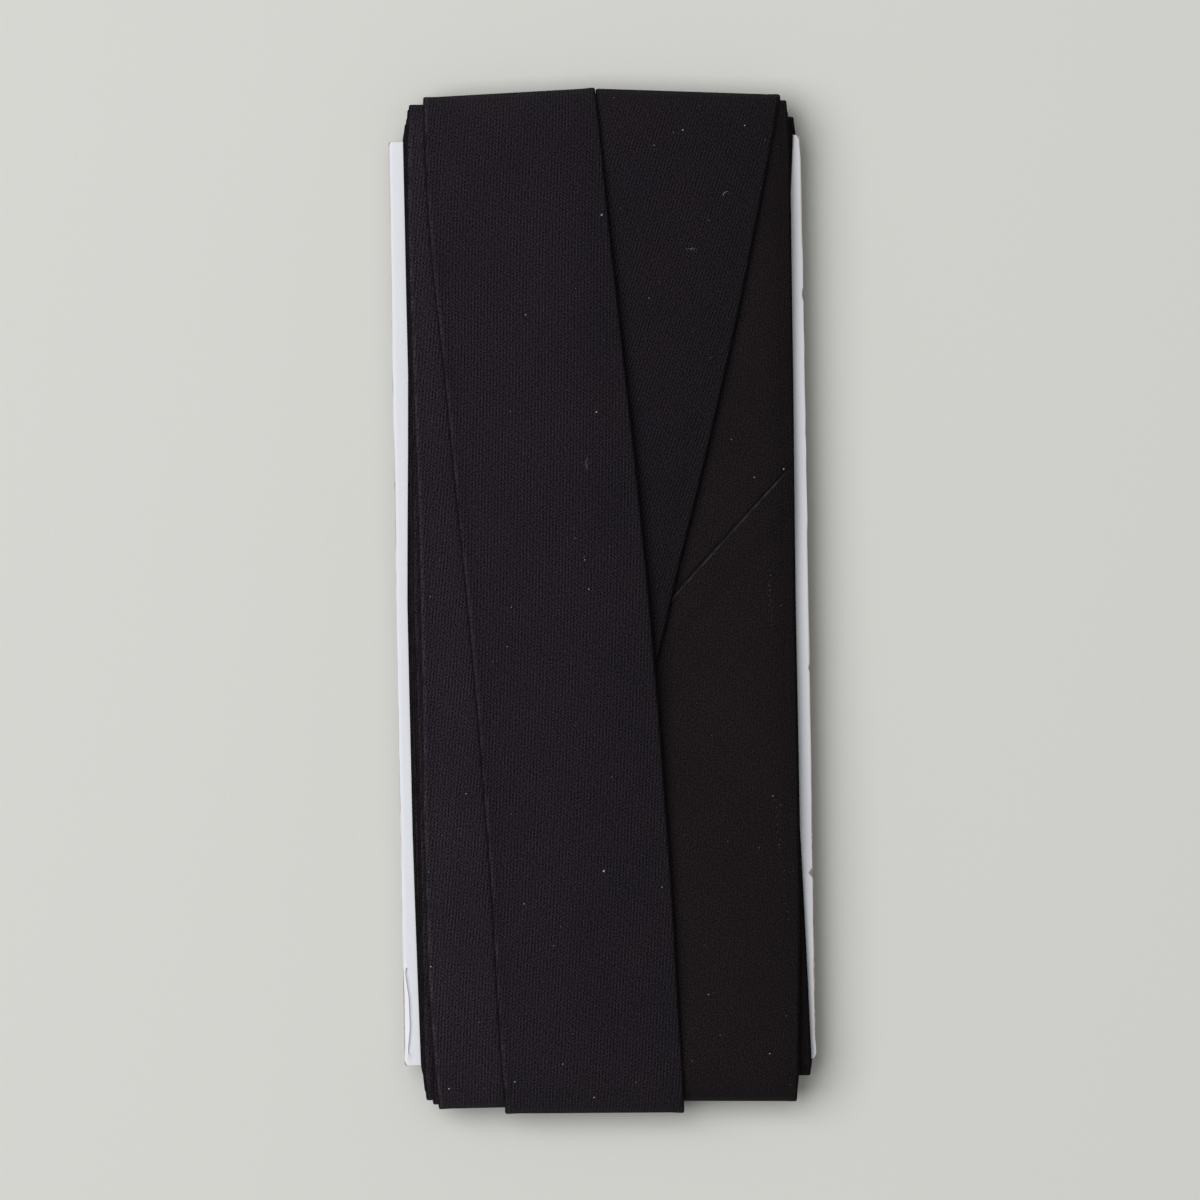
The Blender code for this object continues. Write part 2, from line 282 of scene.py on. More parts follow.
class Winding:
    """The middle surface of the wound tape: stations along it, each a row of points from left to right."""

    COLUMNS = 13
    BEND_STEPS = 11
    SHOWN_STEPS = 40
    HIDDEN_STEPS = 12
    DRAPE_ROUNDS = 14
    FIRST_AIR = 0.06
    WANDER_LENGTH = 22.0
    RIPPLE = 0.05
    RIPPLE_LENGTH = 14.0
    END_SPRING = 0.35
    BEND_PINCH = 0.3

    def __init__(self, turns, thickness, pitch, wander, seed):
        """Winds the turns. thickness, pitch from layer to layer and wander of the edges are millimetres."""
        self.turns = turns
        self.thickness = thickness
        self.pitch = pitch
        self.wander = wander
        self.rng = np.random.default_rng(seed)
        self.covers = {FRONT: Cover(), BACK: Cover()}
        self.shares = np.linspace(0.0, 1.0, self.COLUMNS)
        self.starts = {}
        stretches = self.lay_runs()
        self.points = self.join_runs(stretches)
        self.along = self.measure_along()
        self.outward = self.find_outward()

    def lay_runs(self):
        """Every run in order, each draped over those before it."""
        stretches = []
        last = len(self.turns) - 1
        for number, turn in enumerate(self.turns):
            bend_start = 0.5 + 2.0 * number / last
            flat_end = HALF_LENGTH / MM - bend_start
            top = HEAD_START if number == 0 else flat_end
            stop = TAIL_STOP if number == last else flat_end
            up_shown = turn.shown or number == last - 3
            stretches.append(self.lay_run(turn, FRONT, top, -flat_end, turn.shown))
            stretches.append(self.lay_run(turn, BACK, -flat_end, stop, up_shown))
        return stretches

    def lay_run(self, turn, face, start, finish, shown):
        """One run of a turn along a face, from height start to height finish."""
        front = face == FRONT
        run = turn.down if front else turn.up
        steps = self.SHOWN_STEPS if shown else self.HIDDEN_STEPS
        ys = np.linspace(start, finish, steps + 1)
        spacing = abs(finish - start) / steps
        calm = np.sin(np.pi * np.linspace(0, 1, steps + 1)) ** 0.5
        sway = slow_wander(self.rng, steps + 1, spacing, self.WANDER_LENGTH) * self.wander * calm
        spread = slow_wander(self.rng, steps + 1, spacing, self.WANDER_LENGTH) * self.wander * calm / 2
        left = smooth_row(run.left, ys) + sway - spread
        right = smooth_row(run.right, ys) + sway + spread
        xs = left[:, None] * (1 - self.shares) + right[:, None] * self.shares
        grid_ys = np.repeat(ys[:, None], self.COLUMNS, axis=1)
        lying = drape(self.covers[face].under(xs, grid_ys), self.DRAPE_ROUNDS)
        if front and turn.lift:
            ripple = slow_wander(self.rng, steps + 1, spacing, self.RIPPLE_LENGTH)[:, None] * self.RIPPLE
            lift = turn.lift * (0.6 + 0.4 * self.shares**2)
            lying = lying + calm[:, None] * (lift + ripple * np.sin(np.pi * self.shares))
        self.covers[face].add(xs, ys, lying + self.pitch)
        heights = CARD_THICKNESS / MM / 2 + self.FIRST_AIR + lying + self.thickness / 2
        bulge = (0.4 + 0.6 * calm) * front
        finish = np.stack([np.full(steps + 1, turn.tone), np.full(steps + 1, turn.warmth)], axis=1)
        finish = np.concatenate([finish, bulge[:, None] * turn.puffs], axis=1)
        name = turn.name if front else turn.name + "_back"
        return Stretch(name, run, face, np.stack([xs, grid_ys, face * heights], axis=2), finish)

    def join_runs(self, stretches):
        """The stations of all runs, with a bend round the card's end between each two."""
        rows, finishes = [], []
        for number, stretch in enumerate(stretches):
            self.starts[stretch.name] = len(rows)
            rows.extend(stretch.points)
            finishes.extend(stretch.finish)
            if number + 1 < len(stretches):
                turn = self.turns[number // 2]
                reach = turn.bottom_reach
                if stretch.face == BACK:
                    reach = self.turns[number // 2 + 1].top_reach
                rows.extend(self.bend(stretch, stretches[number + 1], reach))
                shares = np.linspace(0.0, 1.0, self.BEND_STEPS + 1)[1:-1, None]
                finishes.extend(stretch.finish[-1] * (1 - shares) + stretches[number + 1].finish[0] * shares)
        self.finish = self.grade(np.array(finishes))
        return np.array(rows)

    def grade(self, finishes):
        """The tone, warmth and bulge in metres at each point. The tone carries painted light and shade across the
        strip: paler towards its left edge, where the light falls from, and darker at its right margin.
        """
        tones = finishes[:, :1] * (1.03 - 0.16 * self.shares**2 - 0.1 * self.shares**10)
        warmths = np.repeat(finishes[:, 1:2], self.COLUMNS, axis=1)
        bulges = finishes[:, 2:3] * (1 - self.shares) + finishes[:, 3:4] * self.shares
        return np.stack([tones, warmths, bulges * MM], axis=2)

    def bend(self, leaving, entering, reach):
        """Stations round a card's end, from the last of one run to the first of the next."""
        last, first = leaving.points[-1], entering.points[0]
        end = -1.0 if leaving.face == FRONT else 1.0
        flat_end = last[:, 1]
        spring = self.END_SPRING - self.thickness / 2
        furthest = HALF_LENGTH / MM + spring + reach[0] * (1 - self.shares) + reach[1] * self.shares
        rows = []
        for step in range(1, self.BEND_STEPS):
            turn = math.pi / 2 * (1 - 2 * step / self.BEND_STEPS)
            start = flat_end if turn >= 0 else first[:, 1]
            y = start + (end * furthest - start) * math.cos(turn)
            run = leaving.run if turn >= 0 else entering.run
            pinch = self.BEND_PINCH * math.cos(turn) ** 2
            left, right = smooth_row(run.left, y) + pinch, smooth_row(run.right, y) - pinch
            xs = left * (1 - self.shares) + right * self.shares
            side = last if turn >= 0 else first
            rows.append(np.stack([xs, y, side[:, 2] * abs(math.sin(turn))], axis=1))
        return rows

    def measure_along(self):
        """How far along the unwound tape each point lies, in millimetres, slant allowed for."""
        middle = self.points[:, self.COLUMNS // 2]
        steps = np.linalg.norm(np.diff(middle, axis=0), axis=1)
        travelled = np.concatenate([[0.0], np.cumsum(steps)])
        slant = np.gradient(middle[:, 0], travelled)
        slant = np.convolve(np.pad(slant, 3, mode="edge"), np.ones(7) / 7, mode="valid")
        sideways = self.points[:, :, 0] - middle[:, None, 0]
        return travelled[:, None] + sideways * slant[:, None]

    def find_outward(self):
        """The direction out of the pack at each point."""
        lengthwise = np.gradient(self.points, axis=0)
        crosswise = np.gradient(self.points, axis=1)
        outward = np.cross(lengthwise, crosswise)
        return outward / np.linalg.norm(outward, axis=2, keepdims=True)

    def at(self, name, x, y):
        """The point, outward direction and distance along of a shown front run over the place x, y."""
        start = self.starts[name]
        steps = self.SHOWN_STEPS
        ys = self.points[start : start + steps + 1, 0, 1]
        place = np.interp(-y, -ys, np.arange(steps + 1))
        first = min(int(place), steps - 1)
        share = place - first
        found = []
        for grid in (self.points, self.outward, self.along[:, :, None]):
            found.append(grid[start + first] * (1 - share) + grid[start + first + 1] * share)
        row_xs = found[0][:, 0]
        return [np.array([np.interp(x, row_xs, grid[:, k]) for k in range(grid.shape[1])]) for grid in found]


class NodeSheet:
    """Adds nodes to a tree and wires them, for materials and for Geometry Nodes alike."""

    def __init__(self, tree):
        self.tree = tree

    def add(self, kind, *values, **settings):
        """A node of a kind, its inputs fed in order by values: a socket or a constant."""
        node = self.tree.nodes.new(kind)
        for name, value in settings.items():
            setattr(node, name, value)
        sockets = [socket for socket in node.inputs if socket.enabled]
        for socket, value in zip(sockets, values):
            self.feed(socket, value)
        return node

    def feed(self, socket, value):
        """Sets a socket to a constant, or links another socket to it."""
        if isinstance(value, bpy.types.NodeSocket):
            self.tree.links.new(value, socket)
        else:
            socket.default_value = value

    def wire(self, node, **values):
        """Feeds a node's inputs by their names, with an underscore for each space, and returns it."""
        for name, value in values.items():
            self.feed(node.inputs[name.replace("_", " ")], value)
        return node

    def math(self, operation, *values):
        """The result of one arithmetic step."""
        return self.add("ShaderNodeMath", *values, operation=operation).outputs[0]

    def mix(self, share, low, high):
        """A number between low and high."""
        return self.math("MULTIPLY_ADD", self.math("SUBTRACT", high, low), share, low)

    def within(self, value, reach, fade=0.0):
        """1 where value is no further from nought than fade, 0 from reach on, and smooth between."""
        return self.math("SUBTRACT", 1.0, self.ramp(self.math("ABSOLUTE", value), fade, reach))

    def ramp(self, value, start, finish):
        """0 below start, 1 above finish, and a smooth step between them."""
        node = self.add("ShaderNodeMapRange", value, start, finish, 0.0, 1.0, interpolation_type="SMOOTHSTEP")
        return node.outputs[0]

    def scaled(self, vector, factor):
        """A vector or colour made longer or stronger by a factor."""
        node = self.add("ShaderNodeVectorMath", vector, operation="SCALE")
        return self.wire(node, Scale=factor).outputs[0]


class MaterialSheet(NodeSheet):
    """The nodes of a new material, with its shader wired."""

    def __init__(self, name):
        self.material = bpy.data.materials.new(name)
        self.material.use_nodes = True
        super().__init__(self.material.node_tree)
        self.shader = self.tree.nodes["Principled BSDF"]

    def place(self):
        """The point on the object."""
        return self.add("ShaderNodeTexCoord").outputs["Object"]

    def noise(self, place, scale, detail=2.0, **settings):
        """Cloudy noise from 0 to 1."""
        node = self.add("ShaderNodeTexNoise", place, **settings)
        return self.wire(node, Scale=scale, Detail=detail).outputs[0]

    def blend_colours(self, share, first, second):
        """The first colour turning into the second as share goes from 0 to 1."""
        node = self.add("ShaderNodeMix", data_type="RGBA")
        for number, value in ((0, share), (6, first), (7, second)):
            self.feed(node.inputs[number], value)
        return node.outputs[2]

    def relief(self, height, depth=1.0):
        """Raises the look of the surface by a height times a depth."""
        bump = self.wire(self.add("ShaderNodeBump"), Strength=1.0, Distance=depth, Height=height)
        self.feed(self.shader.inputs["Normal"], bump.outputs[0])

    def finish(self, colour, roughness, **gloss):
        """Gives the shader its colour, roughness and gloss, and returns the material."""
        self.wire(self.shader, Base_Color=colour, Roughness=roughness, **gloss)
        return self.material


class GrowthSheet(NodeSheet):
    """A Geometry Nodes tree with a geometry input, named inputs after it, and a material last."""

    def __init__(self, name, **inputs):
        super().__init__(bpy.data.node_groups.new(name, "GeometryNodeTree"))
        inputs = {"Geometry": "Geometry", **inputs, "Material": "Material"}
        for label, kind in inputs.items():
            self.socket(label.replace("_", " "), "INPUT", kind)
        self.socket("Geometry", "OUTPUT", "Geometry")
        self.source = self.tree.nodes.new("NodeGroupInput")
        self.sink = self.tree.nodes.new("NodeGroupOutput")

    def socket(self, label, way, kind):
        """One input or output of the tree."""
        self.tree.interface.new_socket(label, in_out=way, socket_type="NodeSocket" + kind)

    def inputs(self):
        """The tree's inputs, in order."""
        return list(self.source.outputs)[:-1]

    def named(self, label, kind="FLOAT"):
        """The attribute of that name."""
        node = self.add("GeometryNodeInputNamedAttribute", data_type=kind)
        return self.wire(node, Name=label).outputs[0]

    def store(self, geometry, label, value, kind="FLOAT", domain="POINT"):
        """The geometry with a value kept on it as a named attribute."""
        node = self.add("GeometryNodeStoreNamedAttribute", data_type=kind, domain=domain)
        return self.wire(node, Geometry=geometry, Name=label, Value=value).outputs[0]

    def random(self, low, high, seed):
        """A number for each point between two ends, or a vector where they are vectors."""
        flat = isinstance(low, float)
        node = self.add("FunctionNodeRandomValue", data_type="FLOAT" if flat else "FLOAT_VECTOR")
        first = 2 if flat else 0
        self.feed(node.inputs[first], low)
        self.feed(node.inputs[first + 1], high)
        return self.wire(node, Seed=seed).outputs[1 if flat else 0]

    def join(self, *parts):
        """All the parts as one geometry."""
        node = self.add("GeometryNodeJoinGeometry")
        for part in parts:
            self.tree.links.new(part, node.inputs[0])
        return node.outputs[0]

    def scatter(self, points, instance, rotation, size):
        """A copy of the instance on each point."""
        node = self.add("GeometryNodeInstanceOnPoints")
        return self.wire(node, Points=points, Instance=instance, Rotation=rotation, Scale=size).outputs[0]

    def finish(self, geometry, material):
        """Ends the tree: instances made real, shaded smooth, and given their material."""
        real = self.add("GeometryNodeRealizeInstances", geometry).outputs[0]
        shaded = self.wire(self.add("GeometryNodeSetShadeSmooth", real), Shade_Smooth=True)
        painted = self.wire(self.add("GeometryNodeSetMaterial", shaded.outputs[0]), Material=material)
        self.tree.links.new(painted.outputs[0], self.sink.inputs[0])
        return self


def grow(base, sheet, values, name):
    """Runs a tree on the base mesh and keeps the result as a plain mesh of that name."""
    modifier = base.modifiers.new("grow", "NODES")
    modifier.node_group = sheet.tree
    for item in sheet.tree.interface.items_tree:
        if item.in_out == "INPUT" and item.name in values:
            modifier[item.identifier] = values[item.name]
    base.update_tag()
    evaluated = base.evaluated_get(bpy.context.evaluated_depsgraph_get())
    mesh = bpy.data.meshes.new_from_object(evaluated)
    mesh.name = name
    base.modifiers.remove(modifier)
    bpy.data.objects.remove(base)
    if not mesh.polygons:
        raise RuntimeError(name + " came out empty")
    piece = bpy.data.objects.new(name, mesh)
    bpy.context.scene.collection.objects.link(piece)
    return piece


def link_mesh(name, points, faces, attributes=(), edges=()):
    """A mesh object from points in metres, with point attributes given as (name, kind, values)."""
    mesh = bpy.data.meshes.new(name)
    mesh.from_pydata([tuple(map(float, point)) for point in points], list(edges), faces)
    for label, kind, values in attributes:
        layer = mesh.attributes.new(label, kind, "POINT")
        key = "vector" if kind == "FLOAT_VECTOR" else "value"
        layer.data.foreach_set(key, np.asarray(values, np.float32).ravel())
    item = bpy.data.objects.new(name, mesh)
    bpy.context.scene.collection.objects.link(item)
    return item


def in_frame(points):
    """Points in millimetres from the card's middle, moved into the frame in metres."""
    return np.asarray(points, float) * MM + np.array([0.0, 0.0, CARD_MIDDLE])


# How the bulge of a fold rises from the tape's edge inwards: millimetres from the edge, and share.
BULGE_PROFILE = ((0.27, 0.95), (0.6, 1.0), (1.0, 0.75), (1.6, 0.33), (2.4, 0.0))


def folded_outline(width, thickness, fabric, gap):
    """The cut across the folded tape, all in millimetres.

    Both raw edges are turned under to meet near the middle. Returns the outline's points as share of
    the width, height over the middle surface, place across the unfolded cloth, and share in the bulge
    of a fold, and then the cut width.
    """
    skin = fabric / 2
    radius = thickness / 2 - skin
    inset = radius + skin
    columns = np.linspace(0.0, width, Winding.COLUMNS)[1:-1]
    tip = width / 2 - gap / 2
    under = [tip] + [x for x in columns[::-1] if x < tip - 0.5] + [inset]
    line = [(x, -radius, 0.0, -1.0, 0.0) for x in under]

    def fold(middle, all_degrees):
        for degrees, bulge in zip(all_degrees, (0.1, 0.45, 0.8)):
            turn = math.radians(degrees)
            x, y = math.cos(turn), math.sin(turn)
            line.append((middle + radius * x, radius * y, x, y, bulge))

    fold(inset, (225, 180, 135))
    near = [x for x, _ in BULGE_PROFILE]
    over = [*near, *(x for x in columns if near[-1] < x < width - near[-1]), *(width - x for x in near[::-1])]
    for x in over:
        bulge = np.interp(min(x, width - x), near, [share for _, share in BULGE_PROFILE])
        line.append((x, radius, 0.0, 1.0, bulge if min(x, width - x) <= near[-1] else 0.0))
    turned = len(line)
    fold(width - inset, (-45, 0, 45))
    line[turned:] = line[turned:][::-1]
    line += [(width - x, -radius, 0.0, -1.0, 0.0) for x in under[::-1]]
    line = np.array(line)
    steps = np.linalg.norm(np.diff(line[:, :2], axis=0), axis=1)
    cloth = np.concatenate([[0.0], np.cumsum(steps)])
    outer = line[:, :2] + line[:, 2:4] * skin
    inner = (line[:, :2] - line[:, 2:4] * skin)[::-1]
    outline = np.concatenate([outer, inner])[::-1]
    bulges = np.concatenate([line[:, 4], line[::-1, 4]])[::-1]
    return outline[:, 0] / width, outline[:, 1], np.concatenate([cloth, cloth[::-1]]), bulges, cloth[-1]


def tape_tree():
    """Lays a folded outline on the tape's middle surface, station by station."""
    sheet = GrowthSheet("folded tape", Outline="Object", Stations="Int", Columns="Int")
    guide, outline, stations, columns, material = sheet.inputs()
    outline_mesh = sheet.add("GeometryNodeObjectInfo", outline).outputs["Geometry"]
    profile = sheet.add("GeometryNodeMeshToCurve", outline_mesh).outputs[0]
    rail = sheet.add("GeometryNodeCurvePrimitiveLine", (0.0, 0.0, 0.0), (0.0, 0.0, 1.0)).outputs[0]
    rail = sheet.wire(sheet.add("GeometryNodeResampleCurve", rail), Count=stations).outputs[0]
    numbered = sheet.store(rail, "station", sheet.add("GeometryNodeInputIndex").outputs[0], "INT")
    tube = sheet.wire(sheet.add("GeometryNodeCurveToMesh", numbered, profile), Fill_Caps=True).outputs[0]

    gaps = sheet.math("SUBTRACT", columns, 1.0)
    place = sheet.math("MULTIPLY", sheet.named("share"), gaps)
    column = sheet.math("MINIMUM", sheet.math("FLOOR", place), sheet.math("SUBTRACT", gaps, 1.0))
    beyond = sheet.math("SUBTRACT", place, column)
    index = sheet.math("MULTIPLY_ADD", sheet.named("station", "INT"), columns, column)
    next_index = sheet.math("ADD", index, 1.0)

    def read(value, kind):
        """The guide's value at this station and share."""
        vector = kind == "FLOAT_VECTOR"
        mixed = sheet.add("ShaderNodeMix", data_type="VECTOR" if vector else "FLOAT")
        sheet.feed(mixed.inputs[0], beyond)
        first = 4 if vector else 2
        for number, at in ((first, index), (first + 1, next_index)):
            node = sheet.add("GeometryNodeSampleIndex", data_type=kind)
            sheet.wire(node, Geometry=guide, Value=value, Index=at)
            sheet.feed(mixed.inputs[number], node.outputs[0])
        return mixed.outputs[1 if vector else 0]

    middle = read(sheet.add("GeometryNodeInputPosition").outputs[0], "FLOAT_VECTOR")
    outward = read(sheet.named("outward", "FLOAT_VECTOR"), "FLOAT_VECTOR")
    along = read(sheet.named("along"), "FLOAT")
    finish = read(sheet.named("finish", "FLOAT_VECTOR"), "FLOAT_VECTOR")
    bulging = sheet.add("ShaderNodeSeparateXYZ", finish).outputs[2]
    away = sheet.add("ShaderNodeVectorMath", outward, operation="NORMALIZE").outputs[0]
    rise = sheet.math("MULTIPLY_ADD", sheet.named("bulge"), bulging, sheet.named("lift"))
    raised = sheet.scaled(away, rise)
    target = sheet.add("ShaderNodeVectorMath", middle, raised, operation="ADD").outputs[0]
    mapped = sheet.add("ShaderNodeCombineXYZ", sheet.named("cloth"), along, 0.0).outputs[0]
    unwrapped = sheet.store(tube, "UVMap", mapped, "FLOAT2", "CORNER")
    shaded = sheet.store(unwrapped, "cloth_shade", finish, "FLOAT_VECTOR")
    laid = sheet.wire(sheet.add("GeometryNodeSetPosition"), Geometry=shaded, Position=target)
    return sheet.finish(laid.outputs[0], material)


def drop_helpers(mesh):
    """Removes the attributes that only served the making."""
    for label in ("share", "lift", "cloth", "bulge", "station", "outward", "along", "finish"):
        found = mesh.attributes.get(label)
        if found:
            mesh.attributes.remove(found)


def colour_of(value, red, green=None, blue=None):
    """A colour as four numbers, made lighter or darker by a factor, or by one for each number."""
    factors = (red, red if green is None else green, red if blue is None else blue)
    return (*(part * factor for part, factor in zip(value, factors)), 1.0)


WARP_TURN = math.radians(46.6)
WEFT_TURN = math.radians(41.0)


def tape_material(settings, seam):
    """Plain weave cut on the bias, with painted shade in its hollows and at the fold tips, painted shading on its
    ribs from the light on the left, a painted highlight along the left folds, and the joining seam's groove, sunk
    by bump and painted darker.
    """
    sheet = MaterialSheet("bias tape")
    math_of, ramp, mix = sheet.math, sheet.ramp, sheet.mix
    unwrapped = sheet.add("ShaderNodeUVMap", uv_map="UVMap").outputs[0]
    across, along = sheet.add("ShaderNodeSeparateXYZ", unwrapped).outputs[:2]

    def noise(scale, detail):
        return sheet.noise(unwrapped, scale, detail, noise_dimensions="2D")

    def yarn_place(turn, direction, pitch):
        """How many yarns of one kind lie between the cloth's corner and this point."""
        sideways = math_of("MULTIPLY", across, math.cos(turn) / pitch)
        return math_of("MULTIPLY_ADD", along, direction * math.sin(turn) / pitch, sideways)

    warp = yarn_place(WARP_TURN, -1.0, settings.warp_pitch)
    weft = yarn_place(WEFT_TURN, 1.0, settings.weft_pitch)
    warp_number, weft_number = math_of("FLOOR", warp), math_of("FLOOR", weft)

    def yarn_height(place, number, other, sign):
        """How high a yarn stands, over one yarn of the other kind and under the next."""
        crown = math_of("SINE", math_of("MULTIPLY", math_of("FRACT", place), math.pi))
        travel = math_of("MULTIPLY", math_of("ADD", other, number), math.pi)
        wave = math_of("MULTIPLY_ADD", math_of("SINE", travel), 0.5 * sign, 0.5)
        return math_of("MULTIPLY", crown, wave)

    def yarn_shade(number, seed):
        """A shade of its own for each yarn."""
        numbered = sheet.add("ShaderNodeCombineXYZ", number, seed, 0.0).outputs[0]
        return sheet.add("ShaderNodeTexWhiteNoise", numbered, noise_dimensions="2D").outputs[0]

    warp_height = yarn_height(warp, warp_number, weft, 1.0)
    weft_height = yarn_height(weft, weft_number, warp, -1.0)
    weave = math_of("MAXIMUM", warp_height, weft_height)
    yarn_shades = math_of("ADD", yarn_shade(warp_number, 3.0), yarn_shade(weft_number, 9.0))
    patches = noise(70.0, 3.0)
    fluff = noise(3600.0, 2.0)

    fold_line = settings.width / 2 - settings.fold_gap / 2
    left_fold = math_of("SUBTRACT", across, fold_line)
    right_fold = math_of("SUBTRACT", seam["cut"] - fold_line, across)
    nearest = math_of("MINIMUM", math_of("ABSOLUTE", left_fold), math_of("ABSOLUTE", right_fold))
    # Painted shade in a narrow band at the tip of each fold, where the tape curves under.
    shaded_side = sheet.within(nearest, 0.00036, 0.00012)
    # A painted highlight along the left fold, the side the light falls from, broken up by noise and kept to the
    # paler turns.
    fold_highlight = sheet.within(math_of("SUBTRACT", left_fold, 0.0004), 0.0006, 0.0001)
    for scale, detail, start, finish in ((2200.0, 2.0, 0.3, 0.7), (240.0, 1.0, 0.3, 0.6)):
        fold_highlight = math_of("MULTIPLY", fold_highlight, ramp(noise(scale, detail), start, finish))

    lean = seam["lean"]
    run = math_of("SUBTRACT", along, seam["along"])
    offset = math_of("MULTIPLY", math_of("SUBTRACT", across, seam["across"]), lean)
    distance = math_of("MULTIPLY", math_of("SUBTRACT", run, offset), 1.0 / math.hypot(1.0, lean))
    near = sheet.within(run, 0.036, 0.032)
    wobbled = math_of("ADD", distance, math_of("MULTIPLY_ADD", noise(420.0, 1.0), 0.0006, -0.0003))
    groove = math_of("MULTIPLY", sheet.within(wobbled, 0.00032), near)
    allowance = math_of("MULTIPLY", sheet.within(distance, 0.0065, 0.004), near)

    graded = sheet.add("ShaderNodeAttribute", attribute_name="cloth_shade").outputs["Vector"]
    tone, warmth = sheet.add("ShaderNodeSeparateXYZ", graded).outputs[:2]
    fold_highlight = math_of("MULTIPLY", fold_highlight, ramp(tone, 0.5, 1.0))
    # Painted shading of the weave: the ribs are painted lighter and darker in turn, as the light from the left
    # would shade their relief, and the yarns' hollows are painted darker as painted shade.
    rib_shading = math_of("COSINE", math_of("MULTIPLY", math_of("ADD", warp, weft), math.pi))
    texture = math_of("MULTIPLY", rib_shading, mix(noise(500.0, 1.0), 0.08, -0.9))
    texture = math_of("ADD", texture, mix(weave, -0.5, 0.39))
    calm = mix(warmth, 1.0, 0.35)
    texture = math_of("MULTIPLY", texture, calm)
    speckle = mix(ramp(fluff, 0.3, 0.7), -0.66, 0.66)
    texture = math_of("MULTIPLY_ADD", speckle, mix(warmth, 1.0, 0.85), texture)
    shade = math_of("MAXIMUM", math_of("ADD", texture, 1.0), 0.08)
    shade = math_of("MULTIPLY", shade, mix(yarn_shades, 0.94, 1.02))
    shade = math_of("MULTIPLY", shade, mix(patches, 0.86, 1.14))
    shade = math_of("MULTIPLY_ADD", fold_highlight, 1.5, shade)
    shade = math_of("MULTIPLY", shade, mix(shaded_side, 1.0, 0.2))
    # Painted shade in the seam's groove, besides the groove's bump.
    shade = math_of("MULTIPLY", shade, mix(groove, 1.0, 0.5))
    # The turn's tone: painted light and shade from the light on the left.
    shade = math_of("MULTIPLY", shade, tone)
    leaning = math_of("MULTIPLY_ADD", ramp(patches, 0.4, 0.65), 0.2, warmth)
    leaning = math_of("MULTIPLY_ADD", fold_highlight, 0.5, leaning)
    cool, warm = colour_of(settings.colour, 1.0), colour_of(settings.colour, 0.97, 0.9, 0.73)
    tinted = sheet.scaled(sheet.blend_colours(leaning, cool, warm), shade)

    height = math_of("MULTIPLY", weave, settings.weave_relief)
    height = math_of("MULTIPLY_ADD", fluff, settings.weave_relief * 0.35, height)
    height = math_of("MULTIPLY", height, calm)
    height = math_of("MULTIPLY_ADD", groove, -0.00018, height)
    height = math_of("MULTIPLY_ADD", allowance, 0.00012, height)
    pucker = math_of("MULTIPLY", allowance, noise(260.0, 1.0))
    sheet.relief(math_of("MULTIPLY_ADD", pucker, 0.00022, height))
    gloss = dict(Specular_IOR_Level=0.12, Sheen_Weight=0.012, Sheen_Roughness=0.5)
    return sheet.finish(tinted, mix(weave, 0.97, 0.86), **gloss)


def seam_material(settings):
    """The pressed edge of the joining seam, painted paler than the cloth round it as a painted highlight on its
    lip.
    """
    sheet = MaterialSheet("pressed seam edge")
    lip_mottle = sheet.noise(sheet.place(), 900.0, 3.0)
    # The paler colour is a painted highlight for the lip's side that faces the light.
    dull, rubbed_and_highlit = colour_of(settings.colour, 0.7), colour_of(settings.colour, 1.8, 1.95, 1.35)
    tint = sheet.blend_colours(sheet.ramp(lip_mottle, 0.36, 0.64), dull, rubbed_and_highlit)
    sheet.relief(lip_mottle, 0.00008)
    return sheet.finish(tint, sheet.mix(lip_mottle, 0.8, 0.95), Specular_IOR_Level=0.25)


def paper_material(settings):
    """Matt white paper with faint pulp, soft dents, and greyer rubbed edges."""
    sheet = MaterialSheet("card paper")
    place = sheet.place()
    pulp, cloud = sheet.noise(place, 900.0, 4.0), sheet.noise(place, 45.0)
    edge = sheet.math("ABSOLUTE", sheet.add("ShaderNodeSeparateXYZ", place).outputs[0])
    rubbed_and_highlit = sheet.ramp(edge, CARD_HIGH.x - 0.0003, CARD_HIGH.x)
    grubby = sheet.math("MULTIPLY", rubbed_and_highlit, sheet.ramp(cloud, 0.4, 0.62))
    shade = sheet.math("MULTIPLY", sheet.mix(pulp, 0.965, 1.02), sheet.mix(cloud, 0.97, 1.03))
    paper, board = colour_of(settings.paper_colour, 1.0), colour_of(settings.board_colour, 1.6)
    tinted = sheet.scaled(sheet.blend_colours(grubby, paper, board), shade)
    sheet.relief(pulp, 0.00004)
    return sheet.finish(tinted, sheet.mix(pulp, 0.55, 0.75), Specular_IOR_Level=0.35)


def board_material(settings):
    """Brown greyboard with layered, fibrous edges."""
    sheet = MaterialSheet("greyboard")
    stretched = sheet.wire(sheet.add("ShaderNodeMapping", sheet.place()), Scale=(1.0, 1.0, 14.0))
    fibres = sheet.noise(stretched.outputs[0], 700.0, 5.0)
    dark, light = colour_of(settings.board_colour, 0.6), colour_of(settings.board_colour, 1.45)
    tint = sheet.blend_colours(sheet.ramp(fibres, 0.3, 0.7), dark, light)
    sheet.relief(fibres, 0.00008)
    return sheet.finish(tint, sheet.mix(fibres, 0.8, 0.95))


def lint_material(settings):
    """Pale lint, a little varied from speck to speck."""
    sheet = MaterialSheet("lint")
    spots = sheet.noise(sheet.place(), 160.0)
    dark, light = colour_of(settings.colour, 0.35), colour_of(settings.colour, 1.1)
    tint = sheet.blend_colours(sheet.ramp(spots, 0.35, 0.65), dark, light)
    return sheet.finish(tint, sheet.mix(spots, 0.8, 0.95))


